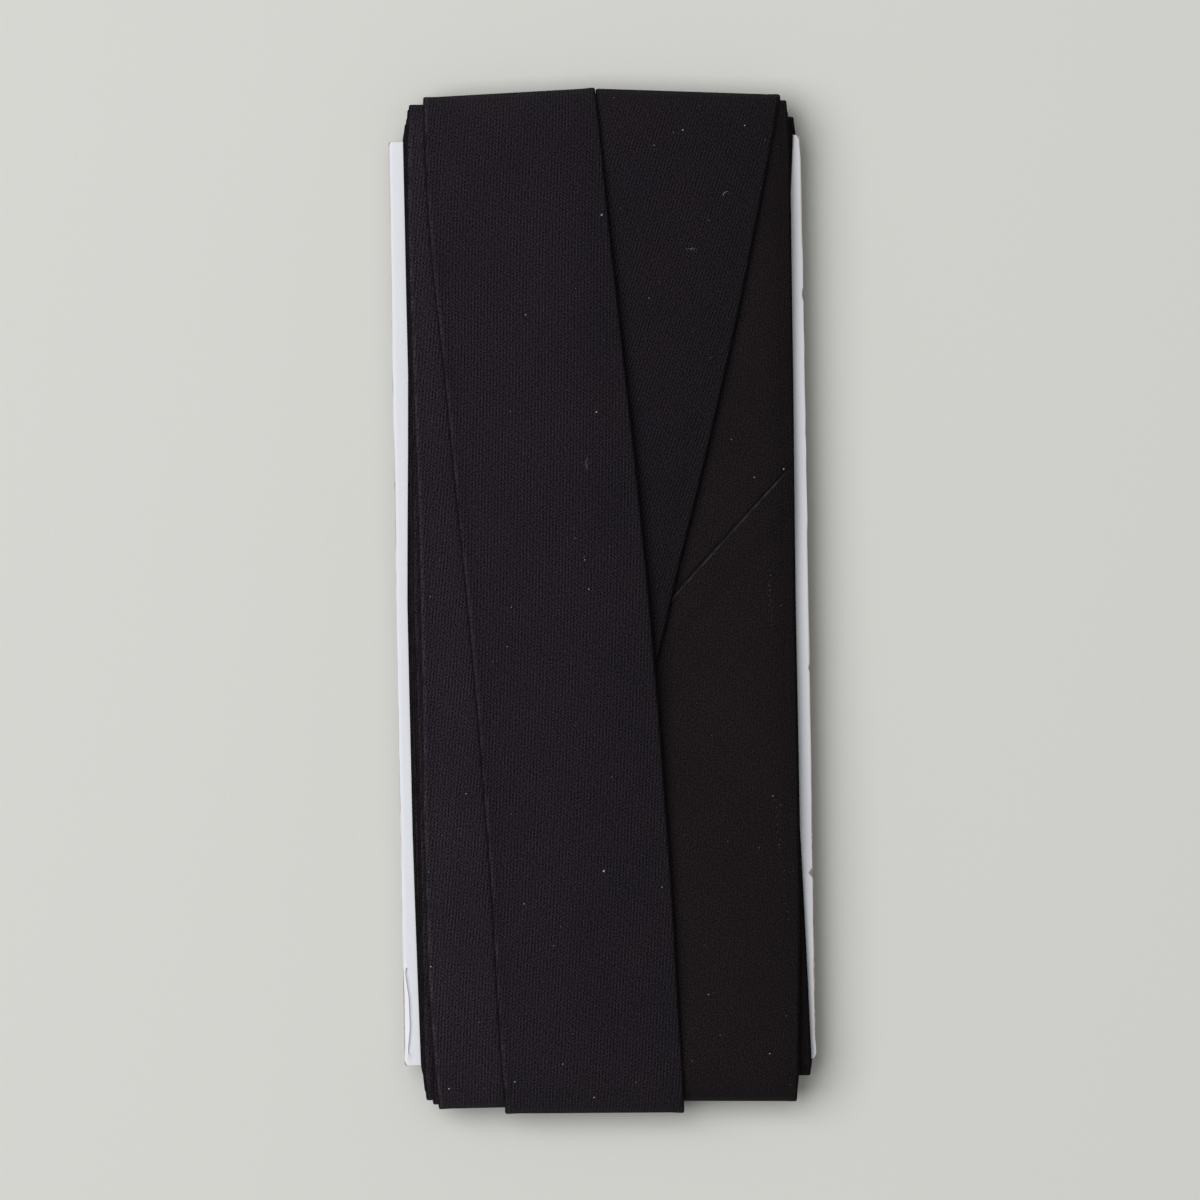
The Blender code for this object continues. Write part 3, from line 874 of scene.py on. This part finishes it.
def ground_material(settings):
    """A pale matt ground with the faintest tooth."""
    sheet = MaterialSheet("pale ground")
    tooth = sheet.noise(sheet.place(), 1500.0)
    dark, light = colour_of(settings.floor_colour, 0.985), colour_of(settings.floor_colour, 1.015)
    return sheet.finish(sheet.blend_colours(tooth, dark, light), 0.95, Specular_IOR_Level=0.2)


SEAM_TOP = (31.6, 21.8)
SEAM_FOOT = (10.5, -0.9)


def measure_seam(winding, width, cut):
    """Where the joining seam crosses the unfolded cloth of the top right-hand turn, in metres."""
    ends = []
    for x, y in (SEAM_TOP, SEAM_FOOT):
        _, _, along = winding.at("right_over_3", x, y)
        left, right = smooth_row(RIGHT_OVER.left, y), smooth_row(RIGHT_OVER.right, y)
        share = (x - left) / (right - left)
        ends.append((cut / 2 + (share - 0.5) * width, along[0]))
    (u0, v0), (u1, v1) = ends
    return {"across": u0 * MM, "along": v0 * MM, "lean": (v1 - v0) / (u1 - u0), "cut": cut * MM}


def make_tape(settings):
    """The whole tape, one folded strip from the end on the card to the end that lies on the back."""
    thickness, width = settings.thickness / MM, settings.width / MM
    winding = Winding(plan_turns(), thickness, settings.layer_pitch / MM, settings.wander / MM, settings.seed)
    rows, columns = winding.points.shape[:2]
    corners = [(row * columns + column) for row in range(rows - 1) for column in range(columns - 1)]
    faces = [(first, first + columns, first + columns + 1, first + 1) for first in corners]
    guide = link_mesh(
        "tape_middle",
        in_frame(winding.points.reshape(-1, 3)),
        faces,
        [
            ("outward", "FLOAT_VECTOR", winding.outward),
            ("along", "FLOAT", winding.along * MM),
            ("finish", "FLOAT_VECTOR", winding.finish),
        ],
    )
    share, lift, cloth, bulge, cut = folded_outline(
        width, thickness, settings.fabric / MM, settings.fold_gap / MM
    )
    count = len(share)
    outline = link_mesh(
        "tape_outline",
        np.stack([share, lift, np.zeros(count)], axis=1),
        [],
        [
            ("share", "FLOAT", share),
            ("lift", "FLOAT", lift * MM),
            ("cloth", "FLOAT", cloth * MM),
            ("bulge", "FLOAT", bulge),
        ],
        [(corner, (corner + 1) % count) for corner in range(count)],
    )
    material = tape_material(settings, measure_seam(winding, width, cut))
    values = {"Outline": outline, "Stations": rows, "Columns": columns, "Material": material}
    tape = grow(guide, tape_tree(), values, "bias_tape")
    bpy.data.objects.remove(outline)
    drop_helpers(tape.data)
    tape["length"] = float(winding.along.max() - winding.along.min()) * MM
    tape["cut_width"] = cut * MM
    return tape, winding


PLY = 0.16 * MM
CARD_CORNER = 0.4
BOARD_RIM = ((-1.0, 0.09), (-0.6, 0.0), (0.0, -0.02), (0.6, 0.0), (1.0, 0.09))
LIFT_CREASE = ((-34.9, -61.0), (-34.1, -67.0), (-34.0, -72.2), (-34.6, -77.8))
FLAP_COLUMNS = 3
FLAP_RISE = 0.46
EDGE_NICKS = ((34.6, 51.5, 0.5), (34.9, -46.8, 0.7), (-34.9, 20.0, 0.3), (34.9, -12.0, 0.3))


def crease_x(y):
    """How far left of the card's middle the lifted corner's crease lies at height y, in millimetres."""
    xs, ys = zip(*LIFT_CREASE)
    return float(np.interp(-y, [-value for value in ys], xs))


def ply_inset(x_side, y, rng_line):
    """How far the paper's edge has worn back from the card's own edge at height y, in millimetres."""
    inset = 0.02 + 0.03 * rng_line
    if x_side > 0:
        inset += 0.2 * max(min((-y - 28.0) / 9.0, (y + 77.0) / 3.0, 1.0), 0.0)
        inset += 0.25 * min(max((y - 74.5) / 2.0, 0.0), 1.0)
    for nick_x, nick_y, depth in EDGE_NICKS:
        if nick_x * x_side > 0:
            inset += depth * math.exp(-(((y - nick_y) / 0.45) ** 2))
    return inset


def make_ply(name, side, settings, material):
    """One face of paper on the card: worn edges and, on the front, a corner that has come unstuck."""
    rng = np.random.default_rng(settings.seed + side)
    half_width, half_length = CARD_HIGH.x / MM, CARD_HIGH.y / MM
    border = np.array([0.0, 0.35, 0.75, 1.2, 1.7, 2.3, 3.0, 4.0])
    middle = np.linspace(-half_width + 8.0, half_width - 8.0, 9)
    xs = np.concatenate([border - half_width, middle, half_width - border[::-1]])
    ys = np.linspace(-half_length, half_length, 190)
    wear = [slow_wander(rng, len(ys), 0.83, 3.0) for _ in range(2)]
    base = CARD_THICKNESS / MM / 2 - PLY / MM
    grid = np.zeros((len(ys), len(xs), 3))
    for row, y in enumerate(ys):
        low = -half_width + ply_inset(-1, y, wear[0][row])
        high = half_width - ply_inset(1, y, wear[1][row])
        corner = max(abs(y) - (half_length - CARD_CORNER), 0.0)
        round_off = CARD_CORNER - math.sqrt(max(CARD_CORNER**2 - corner**2, 0.0))
        low, high = low + round_off, high - round_off
        row_xs = low + (xs + half_width) / (2 * half_width) * (high - low)
        rise = np.zeros(len(xs))
        if side == FRONT:
            crease = crease_x(y)
            tear = max(min((LIFT_CREASE[0][1] - y) / 2.0, (y - LIFT_CREASE[-1][1]) / 2.5, 1.0), 0.0)
            flap = np.linspace(row_xs[0] + 0.1 * tear, crease, FLAP_COLUMNS)
            row_xs[:FLAP_COLUMNS] = row_xs[:FLAP_COLUMNS] * (1 - tear) + flap * tear
            row_xs[FLAP_COLUMNS] = row_xs[FLAP_COLUMNS] * (1 - tear) + (crease + 0.03) * tear
            rise[:FLAP_COLUMNS] = tear * np.linspace(0.1, FLAP_RISE, FLAP_COLUMNS)
        grid[row, :, 0] = row_xs
        grid[row, :, 1] = y * (1 - 0.05 / half_length)
        grid[row, :, 2] = base + rise
    rows, columns = grid.shape[:2]
    flat = grid.reshape(-1, 3)
    lower, upper = flat.copy(), flat.copy()
    upper[:, 2] += PLY / MM
    upper.reshape(rows, columns, 3)[:, [0, -1], 2] -= 0.65 * PLY / MM
    if side == BACK:
        lower[:, 2] *= -1
        upper[:, 2] *= -1
    count = rows * columns
    faces = []
    for row in range(rows - 1):
        for column in range(columns - 1):
            first = row * columns + column
            face = (first, first + columns, first + columns + 1, first + 1)
            faces.append(tuple(corner + count for corner in (face[0], face[3], face[2], face[1])))
            faces.append(face)
    rim = list(range(columns))
    rim += [row * columns + columns - 1 for row in range(1, rows)]
    rim += [(rows - 1) * columns + column for column in range(columns - 2, -1, -1)]
    rim += [row * columns for row in range(rows - 2, 0, -1)]
    for here, there in zip(rim, rim[1:] + rim[:1]):
        faces.append((here, there, there + count, here + count))
    piece = link_mesh(name, in_frame(np.concatenate([lower, upper])), faces)
    outward_faces(piece)
    piece.data.materials.append(material)
    piece.data.shade_smooth()
    piece.data.set_sharp_from_angle(angle=math.radians(35))
    return piece


def outward_faces(piece):
    """Turns every face of a closed piece outwards."""
    shape = bmesh.new()
    shape.from_mesh(piece.data)
    bmesh.ops.recalc_face_normals(shape, faces=shape.faces)
    shape.to_mesh(piece.data)
    shape.free()


def make_board(settings, material):
    """The greyboard between the two papers, its edges a little crushed."""
    rng = np.random.default_rng(settings.seed + 5)
    half_width, half_length = CARD_HIGH.x / MM, CARD_HIGH.y / MM
    half_thick = CARD_THICKNESS / MM / 2 - PLY / MM
    corner, spacing = CARD_CORNER, 1.0
    path = []
    for turn, centre_x, centre_y in ((0, 1, 1), (90, -1, 1), (180, -1, -1), (270, 1, -1)):
        for step in range(4):
            angle = math.radians(turn + 30 * step)
            x = centre_x * (half_width - corner) + corner * math.cos(angle)
            y = centre_y * (half_length - corner) + corner * math.sin(angle)
            path.append((x, y))
    outline = []
    for (x0, y0), (x1, y1) in zip(path, path[1:] + path[:1]):
        steps = max(int(math.hypot(x1 - x0, y1 - y0) / spacing), 1)
        for step in range(steps):
            outline.append((x0 + (x1 - x0) * step / steps, y0 + (y1 - y0) * step / steps))
    outline = np.array(outline)
    outward = outline / np.array([half_width, half_length])
    outward = np.sign(outward) * (np.abs(outward) > 0.97)
    levels = [(share * half_thick, inset) for share, inset in BOARD_RIM]
    points = []
    for level, inset in levels:
        wear = slow_wander(rng, len(outline), spacing, 2.5)[:, None] * 0.03
        rim = outline - outward * (np.maximum(inset + wear, 0.0))
        points.append(np.column_stack([rim, np.full(len(outline), level)]))
    count = len(outline)
    faces = [tuple(range(count))[::-1], tuple(range(count * (len(levels) - 1), count * len(levels)))]
    for level in range(len(levels) - 1):
        for here in range(count):
            there = (here + 1) % count
            low, high = level * count, (level + 1) * count
            faces.append((low + here, low + there, high + there, high + here))
    board = link_mesh("card_board", in_frame(np.concatenate(points)), faces)
    outward_faces(board)
    board.data.materials.append(material)
    return board


def seam_tree():
    """The raised lip of a pressed-open seam along a line on the cloth, with stitches in its groove."""
    sheet = GrowthSheet(
        "joining seam",
        Lip_width="Float",
        Lip_height="Float",
        Stitch_spacing="Float",
        Thread="Float",
        Seed="Int",
    )
    line, lip_width, lip_height, spacing, thread, seed, material = sheet.inputs()
    curve = sheet.add("GeometryNodeMeshToCurve", line).outputs[0]
    ring = sheet.add("GeometryNodeCurvePrimitiveCircle", mode="RADIUS")
    sheet.wire(ring, Resolution=8, Radius=0.5)
    flat = sheet.add("ShaderNodeCombineXYZ", lip_width, lip_height, 1.0).outputs[0]
    profile = sheet.wire(sheet.add("GeometryNodeTransform", ring.outputs[0]), Scale=flat).outputs[0]
    tube = sheet.wire(sheet.add("GeometryNodeCurveToMesh", curve, profile), Fill_Caps=True).outputs[0]
    points = sheet.wire(sheet.add("GeometryNodeCurveToPoints", mode="LENGTH"), Curve=curve, Length=spacing)
    capsule = sheet.wire(sheet.add("GeometryNodeMeshUVSphere"), Segments=6, Rings=5, Radius=thread).outputs[0]
    stitch = sheet.wire(sheet.add("GeometryNodeTransform", capsule), Scale=(1.0, 1.0, 3.4)).outputs[0]
    size = sheet.random(0.7, 1.15, seed)
    stitches = sheet.scatter(points.outputs["Points"], stitch, points.outputs["Rotation"], size)
    return sheet.finish(sheet.join(stitches, tube), material)


def make_seam(winding, settings):
    """The lip and stitches of the slanting seam that joins two lengths of tape."""
    places = []
    aside = np.array([0.26, -0.24])
    for share in np.linspace(0.02, 0.98, 40):
        x, y = np.array(SEAM_TOP) * (1 - share) + np.array(SEAM_FOOT) * share + aside
        point, outward, _ = winding.at("right_over_3", x, y)
        places.append(point + outward / np.linalg.norm(outward) * (settings.thickness / MM / 2 - 0.01))
    edges = [(number, number + 1) for number in range(len(places) - 1)]
    line = link_mesh("seam_line", in_frame(places), [], edges=edges)
    values = {
        "Lip width": settings.lip_width,
        "Lip height": settings.lip_height,
        "Stitch spacing": settings.stitch_spacing,
        "Thread": settings.thread,
        "Seed": settings.seed,
        "Material": seam_material(settings),
    }
    return grow(line, seam_tree(), values, "joining_seam")


# Lint that the photograph shows, as x, y and size in millimetres from the card's middle.
SPECKS = (
    (1.0, 65.3, 0.32), (-12.2, 48.6, 0.14), (-15.1, 32.3, 0.12), (-0.5, 31.9, 0.24), (-4.5, 10.6, 0.14),
    (-2.9, 6.9, 0.12), (-2.3, 1.9, 0.18), (-15.5, -0.9, 0.13), (-16.3, -7.6, 0.17), (-18.8, -10.1, 0.14),
    (-29.2, 1.1, 0.15), (-23.7, -32.4, 0.16), (-0.6, -45.9, 0.32), (-14.2, -51.2, 0.14), (-9.3, -58.4, 0.16),
    (-30.2, -61.6, 0.18), (25.5, 80.1, 0.18), (15.0, 79.5, 0.18), (10.1, 77.0, 0.14), (8.8, 51.1, 0.13),
    (26.1, 20.4, 0.14), (28.3, -33.7, 0.16), (20.5, -41.3, 0.12), (9.2, -48.8, 0.12), (16.8, -67.2, 0.14),
    (27.0, -77.4, 0.15), (4.2, -81.9, 0.13), (-27.5, -82.4, 0.2), (-16.3, -81.4, 0.18), (-8.1, -78.5, 0.14),
    (-2.9, -84.3, 0.2), (31.1, 21.7, 0.28),
)
FLUFFS = ((16.0, 59.4), (16.3, 59.2), (-2.1, 23.2))
FIBRES = ((-2.1, 23.2, 88.0, 1.9), (22.0, 68.6, 40.0, 1.1))
PRICK_ROWS = (((28.5, 4.6), (28.5, -4.7), 12), ((28.6, -34.4), (30.5, -54.7), 16))


def lint_tree():
    """Specks on the marked places and a scatter of fainter ones, dropped on the tape from above or below."""
    sheet = GrowthSheet(
        "lint",
        Tape="Object",
        Height="Float",
        Direction="Float",
        Density="Float",
        Speck_size="Float",
        Width="Float",
        Length="Float",
        Seed="Int",
    )
    marked, tape, height, direction, density, speck_size, width, length, seed, material = sheet.inputs()
    target = sheet.add("GeometryNodeObjectInfo", tape).outputs["Geometry"]
    plane = sheet.add("GeometryNodeMeshGrid", width, length, 2, 2).outputs[0]
    above = sheet.add("ShaderNodeCombineXYZ", 0.0, 0.0, height).outputs[0]
    lifted = sheet.wire(sheet.add("GeometryNodeTransform", plane), Translation=above).outputs[0]
    scattered = sheet.add("GeometryNodeDistributePointsOnFaces", distribute_method="RANDOM")
    sheet.wire(scattered, Mesh=lifted, Density=density, Seed=seed)
    size = sheet.math("MULTIPLY", sheet.random(0.25, 0.8, seed), speck_size)
    sized = sheet.store(scattered.outputs[0], "size", size)
    joined = sheet.join(sized, sheet.add("GeometryNodeMeshToPoints", marked).outputs[0])

    down = sheet.add("ShaderNodeCombineXYZ", 0.0, 0.0, direction).outputs[0]
    ray = sheet.add("GeometryNodeRaycast")
    sheet.wire(ray, Target_Geometry=target, Ray_Direction=down, Ray_Length=0.1)
    landed = sheet.wire(
        sheet.add("GeometryNodeSetPosition"),
        Geometry=joined,
        Position=ray.outputs["Hit Position"],
        Selection=ray.outputs["Is Hit"],
    )
    resting = sheet.add("GeometryNodeInputPosition").outputs[0]
    height_now = sheet.add("ShaderNodeSeparateXYZ", resting).outputs[2]
    gap = sheet.math("ABSOLUTE", sheet.math("SUBTRACT", height_now, height))
    adrift = sheet.math("LESS_THAN", gap, 0.0001)
    kept = sheet.add("GeometryNodeDeleteGeometry", domain="POINT")
    sheet.wire(kept, Geometry=landed.outputs[0], Selection=adrift)

    speck = sheet.add("GeometryNodeMeshIcoSphere", 1.0, 1).outputs[0]
    squat = sheet.wire(sheet.add("GeometryNodeTransform", speck), Scale=(1.0, 0.7, 0.45)).outputs[0]
    turn = sheet.random((-0.3, -0.3, 0.0), (0.3, 0.3, 6.283), seed)
    placed = sheet.scatter(kept.outputs[0], squat, turn, sheet.named("size"))
    return sheet.finish(placed, material)


def marked_specks():
    """The places and sizes of the lint that shows, in metres, with fibres and pricks as rows of specks."""
    places, sizes = [], []
    for x, y, size in SPECKS:
        places.append((x, y))
        sizes.append(size)
    rng = np.random.default_rng(3)
    for x, y in FLUFFS:
        for _ in range(9):
            places.append((x + rng.normal() * 0.35, y + rng.normal() * 0.25))
            sizes.append(0.055)
    for (x0, y0), (x1, y1), count in PRICK_ROWS:
        for share in np.linspace(0, 1, count):
            places.append((x0 + (x1 - x0) * share + rng.normal() * 0.12, y0 + (y1 - y0) * share))
            sizes.append(0.04 + 0.03 * rng.random())
    return np.array(places), np.array(sizes)


def make_lint(tape, settings, side):
    """Lint on one face of the pack."""
    front = side == FRONT
    height = WOUND_HIGH.z + 0.01 if front else WOUND_LOW.z - 0.01
    if front:
        places, sizes = marked_specks()
    else:
        places, sizes = np.array([(-12.0, 40.0), (15.0, -30.0), (3.0, 12.0)]), np.array([0.2, 0.18, 0.2])
    points = [(x * MM, y * MM, height) for x, y in places]
    marks = link_mesh("marked_lint", points, [], [("size", "FLOAT", sizes * MM * settings.size)])
    values = {
        "Tape": tape,
        "Height": height,
        "Direction": -1.0 if front else 1.0,
        "Density": settings.density,
        "Speck size": settings.faint_size,
        "Width": WOUND_HIGH.x - WOUND_LOW.x,
        "Length": WOUND_HIGH.y - WOUND_LOW.y,
        "Seed": settings.seed + (0 if front else 1),
        "Material": lint_material(settings),
    }
    return grow(marks, lint_tree(), values, "lint_front" if front else "lint_back")


def make_fibres(tape, settings):
    """A few loose fibres that lie on the front, each a thin bent hair."""
    shape = bmesh.new()
    graph = bpy.context.evaluated_depsgraph_get()
    surface = tape.evaluated_get(graph)
    for x, y, degrees, length in FIBRES:
        turn = math.radians(degrees)
        steps = 8
        ring_before = None
        for step in range(steps + 1):
            share = step / steps - 0.5
            bend = 0.18 * length * math.cos(share * math.pi)
            px = x + share * length * math.cos(turn) - bend * math.sin(turn)
            py = y + share * length * math.sin(turn) + bend * math.cos(turn)
            above = Vector((px * MM, py * MM, WOUND_HIGH.z + 0.01))
            hit, place, _, _ = surface.ray_cast(above, Vector((0, 0, -1)))
            if not hit:
                raise RuntimeError("a fibre lies off the tape")
            radius = settings.fibre_radius
            side = Vector((-math.sin(turn), math.cos(turn), 0.0))
            place = place + Vector((0.0, 0.0, radius))
            up = Vector((0, 0, 1))
            ring = [
                shape.verts.new(place + side * radius * math.cos(angle) + up * radius * math.sin(angle))
                for angle in (0.0, math.pi / 2, math.pi, 3 * math.pi / 2)
            ]
            if ring_before is None:
                shape.faces.new(ring)
            else:
                for here in range(4):
                    after = (here + 1) % 4
                    shape.faces.new((ring_before[here], ring[here], ring[after], ring_before[after]))
            ring_before = ring
        shape.faces.new(ring_before[::-1])
    bmesh.ops.recalc_face_normals(shape, faces=shape.faces)
    mesh = bpy.data.meshes.new("loose_fibres")
    shape.to_mesh(mesh)
    shape.free()
    mesh.materials.append(lint_material(settings))
    mesh.shade_smooth()
    piece = bpy.data.objects.new("loose_fibres", mesh)
    bpy.context.scene.collection.objects.link(piece)
    return piece


# The photograph, 1200 pixels square, shows 5.9 pixels to a millimetre of the tape's face, and its
# middle lies over this place on the pack. The pack's top end leans a degree to the left in it.
PHOTO_PIXELS = 1200
PIXELS_PER_MM = 5.9
VIEW_MIDDLE = (-0.44 * MM, 0.05 * MM)
VIEW_TURN = math.radians(-1.005)
SENSOR_WIDTH = 36.0
CEILING_PLACE = (math.radians(90), math.radians(80))


def make_floor(settings):
    """A pale level floor just under the pack."""
    half = settings.floor_size / 2
    corners = [(-half, -half, 0.0), (half, -half, 0.0), (half, half, 0.0), (-half, half, 0.0)]
    floor = link_mesh("floor", corners, [(0, 1, 2, 3)])
    floor.data.materials.append(ground_material(settings))


def make_light(name, settings, azimuth, elevation, power):
    """A square soft light that looks at the pack from an azimuth, 0 from the right and 90 from the top."""
    lamp = bpy.data.lights.new(name, "AREA")
    lamp.shape = "SQUARE"
    lamp.size = settings.light_size
    lamp.energy = power
    stand = bpy.data.objects.new(name, lamp)
    level = math.cos(elevation)
    away = Vector((math.cos(azimuth) * level, math.sin(azimuth) * level, math.sin(elevation)))
    stand.location = away * settings.light_distance
    stand.rotation_euler = away.to_track_quat("Z", "Y").to_euler()
    bpy.context.scene.collection.objects.link(stand)


def make_camera(settings):
    """A camera straight above the pack, framed as in the photograph."""
    camera = bpy.data.cameras.new("camera")
    camera.sensor_width = SENSOR_WIDTH
    camera.lens = SENSOR_WIDTH * settings.camera_height / (PHOTO_PIXELS / PIXELS_PER_MM * MM)
    camera.clip_start = 0.01
    stand = bpy.data.objects.new("camera", camera)
    stand.location = (*VIEW_MIDDLE, WOUND_HIGH.z + settings.camera_height)
    stand.rotation_euler = (0.0, 0.0, VIEW_TURN)
    bpy.context.scene.collection.objects.link(stand)
    bpy.context.scene.camera = stand


def make_world(settings):
    """Even, soft light from all round."""
    world = bpy.data.worlds.new("soft room")
    world.use_nodes = True
    background = world.node_tree.nodes["Background"]
    background.inputs["Color"].default_value = (1.0, 1.0, 1.0, 1.0)
    background.inputs["Strength"].default_value = settings.room_light
    bpy.context.scene.world = world
    bpy.context.scene.view_settings.view_transform = "Standard"


def number_setting(name, description, default, low=0.0, high=100.0, **kind):
    """A number that a user may change."""
    return bpy.props.FloatProperty(name=name, description=description, default=default, min=low, max=high, **kind)


def length_setting(name, description, default, high=1.0):
    """A length that a user may change, in metres."""
    return number_setting(
        name, description, default, high=high, precision=5, subtype="DISTANCE", unit="LENGTH"
    )


def angle_setting(name, description, degrees):
    """An angle that a user may change."""
    full = 2 * math.pi
    return number_setting(
        name, description, math.radians(degrees), -full, full, subtype="ANGLE", unit="ROTATION"
    )


def colour_setting(name, description, default):
    """A colour that a user may change."""
    return bpy.props.FloatVectorProperty(
        name=name, description=description, default=default, min=0.0, max=1.0, size=3, subtype="COLOR"
    )


def seed_setting(default):
    """The seed that fixes what is random."""
    return bpy.props.IntProperty(name="Seed", description="Fixes what is random", default=default, min=0)


class TapeSettings(bpy.types.PropertyGroup):
    """The folded tape and its weave."""

    width: length_setting("Width", "Width of the folded tape", 0.0304)
    thickness: length_setting("Thickness", "Thickness of the folded tape", 0.00054)
    fabric: length_setting("Fabric", "Thickness of the cloth itself", 0.00025)
    fold_gap: length_setting("Fold gap", "Gap between the two raw edges turned under", 0.001)
    layer_pitch: length_setting("Layer pitch", "Height from one layer to the next", 0.000568)
    wander: length_setting("Edge wander", "How far the edges stray from their smooth line", 0.0001)
    warp_pitch: length_setting("Warp pitch", "Distance from yarn to yarn one way", 0.000475)
    weft_pitch: length_setting("Weft pitch", "Distance from yarn to yarn the other way", 0.000336)
    weave_relief: length_setting("Weave relief", "Depth of the weave", 0.00014)
    colour: colour_setting("Colour", "Colour of the cloth", (0.0165, 0.0126, 0.0181))
    lip_width: length_setting("Seam lip width", "Width of the joining seam's raised lip", 0.0004)
    lip_height: length_setting("Seam lip height", "Height of the joining seam's raised lip", 0.0002)
    stitch_spacing: length_setting("Stitch spacing", "Distance from stitch to stitch", 0.0018)
    thread: length_setting("Thread radius", "Radius of the stitching thread", 0.00007)
    seed: seed_setting(7)


class CardSettings(bpy.types.PropertyGroup):
    """The card that the tape is wound on."""

    paper_colour: colour_setting("Paper", "Colour of the paper faces", (0.875, 0.895, 0.945))
    board_colour: colour_setting("Board", "Colour of the greyboard", (0.36, 0.28, 0.23))
    seed: seed_setting(11)


class LintSettings(bpy.types.PropertyGroup):
    """The lint on the tape."""

    colour: colour_setting("Colour", "Colour of the lint", (0.62, 0.58, 0.58))
    size: number_setting("Size", "Size of the marked specks", 0.8, 0.1, 3.0)
    faint_size: length_setting("Faint speck", "Largest radius of the scattered specks", 0.00009)
    fibre_radius: length_setting("Fibre radius", "Radius of a loose fibre", 0.000026)
    density: number_setting("Density", "Scattered specks to a square metre", 9000.0, high=100000.0)
    seed: seed_setting(21)


class StageSettings(bpy.types.PropertyGroup):
    """The floor, the lights and the camera."""

    floor_colour: colour_setting("Floor", "Colour of the floor", (0.766, 0.772, 0.730))
    floor_size: length_setting("Floor size", "Side of the square floor", 3.0, high=10.0)
    camera_height: length_setting("Camera height", "Height of the camera over the tape's face", 2.4, high=5.0)
    light_distance: length_setting("Light distance", "Distance of the lights from the pack", 1.8, high=5.0)
    light_size: length_setting("Light size", "Side of each light", 1.6, high=5.0)
    light_power: number_setting("Main light", "Power of the main light", 23.7, unit="POWER")
    fill_power: number_setting("Fill light", "Power of the overhead light", 5.4, unit="POWER")
    light_azimuth: angle_setting("Light azimuth", "Where the main light stands", 168)
    light_elevation: angle_setting("Light elevation", "How high the main light stands", 60)
    room_light: number_setting("Room light", "Strength of the even light", 0.2)


class RollSettings(bpy.types.PropertyGroup):
    """Everything that can be changed about the roll."""

    tape: bpy.props.PointerProperty(type=TapeSettings)
    card: bpy.props.PointerProperty(type=CardSettings)
    lint: bpy.props.PointerProperty(type=LintSettings)
    stage: bpy.props.PointerProperty(type=StageSettings)


def piece_named(name):
    """A piece made before, or an error that says it is missing."""
    piece = bpy.data.objects.get(name)
    if piece is None:
        raise RuntimeError(name + " has to be made first")
    return piece


class BINDING_OT_make_card(bpy.types.Operator):
    """Make the card: greyboard between two faces of paper."""

    bl_idname = "binding.make_card"
    bl_label = "Make card"

    def execute(self, context):
        settings = context.scene.binding_roll.card
        paper = paper_material(settings)
        board = make_board(settings, board_material(settings))
        front = make_ply("card_paper_front", FRONT, settings, paper)
        back = make_ply("card_paper_back", BACK, settings, paper)
        for piece in (board, front, back):
            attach(piece, "root")
        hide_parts("card")
        return {"FINISHED"}


class BINDING_OT_wind_tape(bpy.types.Operator):
    """Wind the folded tape on the card, with the seam that joins its two lengths."""

    bl_idname = "binding.wind_tape"
    bl_label = "Wind tape"

    def execute(self, context):
        settings = context.scene.binding_roll.tape
        tape, winding = make_tape(settings)
        seam = make_seam(winding, settings)
        for piece in (tape, seam):
            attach(piece, "root")
        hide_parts("wound_binding")
        return {"FINISHED"}


class BINDING_OT_scatter_lint(bpy.types.Operator):
    """Scatter specks and fibres of lint on the tape."""

    bl_idname = "binding.scatter_lint"
    bl_label = "Scatter lint"

    def execute(self, context):
        settings = context.scene.binding_roll.lint
        tape = piece_named("bias_tape")
        pieces = [make_lint(tape, settings, side) for side in (FRONT, BACK)]
        for piece in (*pieces, make_fibres(tape, settings)):
            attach(piece, "root")
        return {"FINISHED"}


class BINDING_OT_set_stage(bpy.types.Operator):
    """Set out the floor, the lights and the camera."""

    bl_idname = "binding.set_stage"
    bl_label = "Set stage"

    def execute(self, context):
        settings = context.scene.binding_roll.stage
        make_floor(settings)
        window = (settings.light_azimuth, settings.light_elevation)
        make_light("window_light", settings, *window, settings.light_power)
        make_light("ceiling_light", settings, *CEILING_PLACE, settings.fill_power)
        make_world(settings)
        make_camera(settings)
        return {"FINISHED"}


class BINDING_PT_roll(bpy.types.Panel):
    """The roll's settings and its steps."""

    bl_idname = "BINDING_PT_roll"
    bl_label = "Bias binding roll"
    bl_space_type = "VIEW_3D"
    bl_region_type = "UI"
    bl_category = "Binding"

    def draw(self, context):
        for operator, part in STEPS:
            box = self.layout.box()
            group = getattr(context.scene.binding_roll, part)
            for name in group.__annotations__:
                box.prop(group, name)
            box.operator(operator.bl_idname)


STEPS = (
    (BINDING_OT_make_card, "card"),
    (BINDING_OT_wind_tape, "tape"),
    (BINDING_OT_scatter_lint, "lint"),
    (BINDING_OT_set_stage, "stage"),
)
CLASSES = (
    TapeSettings,
    CardSettings,
    LintSettings,
    StageSettings,
    RollSettings,
    BINDING_OT_make_card,
    BINDING_OT_wind_tape,
    BINDING_OT_scatter_lint,
    BINDING_OT_set_stage,
    BINDING_PT_roll,
)


def register():
    """Adds the settings, the operators and the panel."""
    for item in CLASSES:
        bpy.utils.register_class(item)
    bpy.types.Scene.binding_roll = bpy.props.PointerProperty(type=RollSettings)


def unregister():
    """Takes the settings, the operators and the panel away again."""
    del bpy.types.Scene.binding_roll
    for item in reversed(CLASSES):
        bpy.utils.unregister_class(item)


def main():
    """Makes every piece and the stage."""
    register()
    bpy.ops.binding.make_card()
    bpy.ops.binding.wind_tape()
    bpy.ops.binding.scatter_lint()
    bpy.ops.binding.set_stage()
    bpy.context.view_layer.update()


if __name__ == "__main__":
    main()
